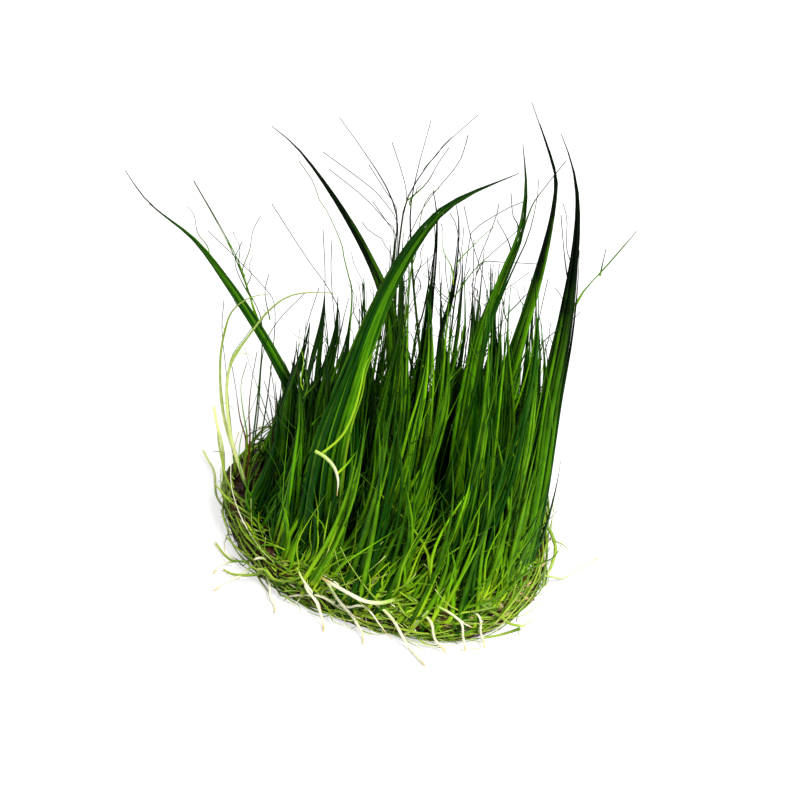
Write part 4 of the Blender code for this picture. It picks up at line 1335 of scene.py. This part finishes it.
shoulder = {"look": {"blades": 16, "full": 7, "thickness": (0.24, 0.38), "reach": (0.5, 0.96),
                     "twist": 1.0, "footSpread": 1.2, "wave": 0.25, "strayChance": 0.1, "strayWay": 1.8,
                     "toneRange": 0.05, "toneSpread": 0.26, "fullness": 2.8, "gather": 0.55},
            "narrow": 2.6,
            "locks": ((5, 1.4, 0.25, ((325, 292), (322, 325), (314, 362), (306, 405))),
                      (4, 1.4, 0.3, ((338, 296), (335, 335), (327, 372), (318, 415))),
                      (6, 1.3, 0.35, ((310, 322), (305, 350), (297, 382), (290, 420))),
                      (3, 1.3, 0.4, ((350, 316), (345, 350), (336, 390), (326, 430))),
                      (7, 1.1, 0.3, ((296, 350), (291, 378), (284, 410), (278, 440))),
                      (0, 1.6, 0.6, ((384, 284), (378, 320), (369, 362), (360, 410))),
                      (2, 1.2, 0.5, ((403, 276), (403, 316), (399, 360), (392, 410))))}


def growShoulder(chance):
    blades = []
    for depth, radius, tone, route in shoulder["locks"]:
        width = drawnIn(radius + lockShape["drawnTip"], shoulder["narrow"])
        blades += lockBlades(hairLine("", depth, route), width, {**shoulder["look"], "tone": tone}, chance)
    growBlades("left_shoulder", moveAll(blades, sink), "leafGreen")


growShoulder(random.Random("shoulder"))
print("left shoulder grown")


# Fine wisps that cross between the locks, most of them dark

wisps = {"count": 150, "tall": 26, "points": 24, "from": (0.4, 0.9), "turn": (0.5, 0.2), "bend": (1, 0.4),
         "bendShare": 0.25, "reach": (3, 9), "wave": 0.25, "waves": 9, "radius": (0.07, 0.11),
         "darkest": 0.6, "limeShare": 0.12}


def wispLine(guides, chance):
    # It leaves a tuft's or a tall lock's line part of the way up and drifts off.
    guide = chance.choice(guides)
    last = wisps["points"] - 1
    at = int(chance.uniform(*wisps["from"]) * last)
    start, way = guide[at], unit(guide[min(at + 1, last)] - guide[at - 1])
    way = unit(way + scatter(chance, *wisps["turn"]))
    bend = scatter(chance, *wisps["bend"])
    reach = chance.uniform(*wisps["reach"])
    t = np.linspace(0, 1, 14)[:, None]
    line = start + way * reach * t + bend * reach * wisps["bendShare"] * t * t
    wave = np.sin(wisps["waves"] * t + chance.uniform(0, 6))
    return settleRight(line + wisps["wave"] * wave * np.array([1, 1, 0]))


def growWisps(chance):
    guides = [line for node in tuftNodes for line in lockLines(node)[1] if line[-1, 2] > wisps["tall"]]
    guides += [smoothRoute(tallLocks[node]["route"], wisps["points"]) for node in tallLocks]
    dark, lime = [], []
    for _ in range(wisps["count"]):
        line = wispLine(guides, chance)
        bundle = lime if chance.random() < wisps["limeShare"] else dark
        bundle.append((line, taper(chance.uniform(*wisps["radius"]), 14, 1.5, 0.045),
                       chance.random() * wisps["darkest"]))
    growBlades("dark_wisps", dark, "leafHair", sides=4, rings=12)
    growBlades("lime_wisps", lime, "leafLime", sides=4, rings=12)


growWisps(random.Random("wisps"))
print("wisps grown")


# Sprigs: small runners and roots at the rim. Each one: its radius, and the pixels of the picture
# with the height at which it passes them.

sprigs = {
    "runnerPale": {
        "leftAcross": (0.19, ((214, 482, 6.6), (226, 497, 6.4), (240, 508, 6.3), (254, 518, 6.2),
            (263, 529, 6.0))),
        "leftAcrossUpper": (0.17, ((217, 432, 9.5), (221, 455, 8.4), (227, 480, 7.2), (238, 497, 6.5),
            (256, 508, 6.3))),
        "leftLower": (0.17, ((215, 541, 0.5), (223, 553, 0.6), (231, 560, 1.4), (246, 562, 3.0))),
        "leftMiddle": (0.2, ((223, 568, 0.6), (232, 574, 0.8), (253, 575, 2.2), (266, 568, 4.2))),
        "leftUpper": (0.15, ((225, 535, 1.6), (238, 549, 2.6), (252, 559, 4.2))),
        "leftBend": (0.2, ((256, 569, 3.4), (266, 570, 4.0), (274, 579, 3.4), (288, 581, 4.4),
            (301, 577, 5.6))),
        "frontShort": (0.2, ((367, 549, 6.4), (378, 557, 6.3), (391, 563, 6.2), (404, 566, 6.0))),
        "frontPaleRise": (0.17, ((391, 588, 5.9), (401, 609, 5.4), (409, 617, 4.4), (420, 619, 3.4))),
        "frontHook": (0.17, ((402, 636, 1.6), (411, 631, 2.6), (421, 619, 4.6), (428, 611, 5.8))),
        "rightLevel": (0.17, ((481, 638, 1.2), (495, 636, 1.6), (507, 633, 2.2), (520, 629, 3.4))),
        "rightCross": (0.15, ((444, 618, 4.6), (462, 613, 5.6), (482, 610, 5.8), (500, 606, 5.8))),
        "rightHookPale": (0.16, ((485, 557, 6.8), (492, 566, 6.4), (501, 567, 6.3), (509, 563, 6.2))),
        "rightFan": (0.17, ((494, 625, 3.6), (505, 612, 5.6), (517, 596, 6.4), (526, 580, 7.6))),
    },
    "rootWhite": {
        "frontWhite": (0.3, ((320, 577, 6.8), (334, 585, 7.2), (350, 594, 7.3), (364, 601, 7.1),
            (380, 603, 6.8), (394, 600, 6.2))),
        "leftBit": (0.2, ((253, 560, 4.0), (259, 558, 4.4), (267, 559, 4.6))),
        "leftForkOne": (0.18, ((213, 574, 0.4), (219, 567, 0.5), (226, 563, 0.8), (236, 561, 1.6))),
        "leftForkTwo": (0.19, ((213, 591, 0.4), (226, 583, 0.5), (238, 577, 1.0), (253, 574, 2.2))),
        "frontCurl": (0.19, ((319, 550, 6.6), (323, 557, 6.3), (328, 561, 6.2), (332, 558, 6.3))),
        "frontSpeck": (0.16, ((402, 587, 6.0), (409, 594, 5.9), (415, 601, 5.7))),
        "rightDrop": (0.14, ((478, 567, 6.4), (484, 578, 6.2), (484, 592, 5.9))),
        "levelStub": (0.2, ((257, 428, 6.2), (268, 427, 6.4), (282, 428, 6.2))),
        "leftArc": (0.18, ((234, 512, 4.4), (243, 523, 5.2), (254, 530, 5.5), (265, 532, 5.6))),
        "leftStub": (0.16, ((227, 513, 1.2), (230, 508, 2.2), (235, 503, 3.6))),
    },
}
sprigLook = {"knot": 0.45, "rootKnot": 0.6, "tone": 0.5}

# White roots on the front wall: their radius and the pixels that they pass, from the tip.
wallRoots = {
    "limits": (0.25, 6.4), "outside": 0.7,
    "roots": ((0.2, ((284, 602), (287, 597), (300, 595), (320, 596), (338, 606), (353, 617), (360, 623))),
              (0.17, ((322, 612), (318, 602), (312, 592), (303, 580), (297, 568))),
              (0.17, ((276, 610), (271, 597), (263, 585), (256, 573))),
              (0.15, ((399, 636), (409, 631), (420, 619), (428, 611))),
              (0.18, ((473, 628), (462, 622), (450, 613), (437, 606))))}


def onWall(across, down):
    # The point seen at a pixel of the picture, a little outside the mat's front wall, or else on
    # top of the mat or on the ground.
    low, high = wallRoots["limits"]
    for _ in range(20):
        level = (low + high) / 2
        distance, angle = fromMiddle(*onLevel(across, down, level)[:2])
        beyond = distance - rimDistance(angle)
        low, high = (low, level) if beyond > wallRoots["outside"] else (level, high)
    return onLevel(across, down, level)


def sprigStrands(rows, place, knot):
    return [(smoothRoute([place(*point) for point in reversed(route)], 24), knuckled(radius, 24, (knot,)),
             sprigLook["tone"]) for radius, route in rows]


for finish, group in sprigs.items():
    slot = "runner" if finish == "runnerPale" else "root"
    strands = sprigStrands(group.values(), onLevel, sprigLook["knot"])
    if slot == "root":
        strands += sprigStrands(wallRoots["roots"], onWall, sprigLook["rootKnot"])
    growBlades("sprigs_" + slot, strands, finish, sides=6, rings=18, flatness=1.0)
print("sprigs made")


# Stray plantlet: a young one with a white root, caught on the front leaves. Each strand: its
# finish, slot, radius, and the pixels of the picture with how far back it passes them.

plantlet = {
    "rootWhite": ("root", 0.25, ((315, 451, -14.6), (325, 457, -14.9), (334, 467, -15.1),
                                 (338, 480, -15.3), (337, 496, -15.6))),
    "leafLime": ("lime_leaf", 0.17, ((320, 455, -14.7), (341, 437, -14.6), (353, 414, -14.2),
                                     (360, 390, -13.6), (366, 364, -12.8), (380, 341, -11.8))),
    "leafFresh": ("lime_leaf", 0.15, ((337, 474, -15.2), (347, 464, -14.9), (358, 450, -14.2))),
}
plantletTone = 0.8

for finish, (slot, radius, route) in plantlet.items():
    line = smoothRoute([fromPicture(*point) for point in route], 30)
    growBlades("plantlet_" + finish, [(line, taper(radius, 20, 2.6, 0.05, 1.0), plantletTone)], finish,
               sides=8, rings=26)
print("stray plantlet made")
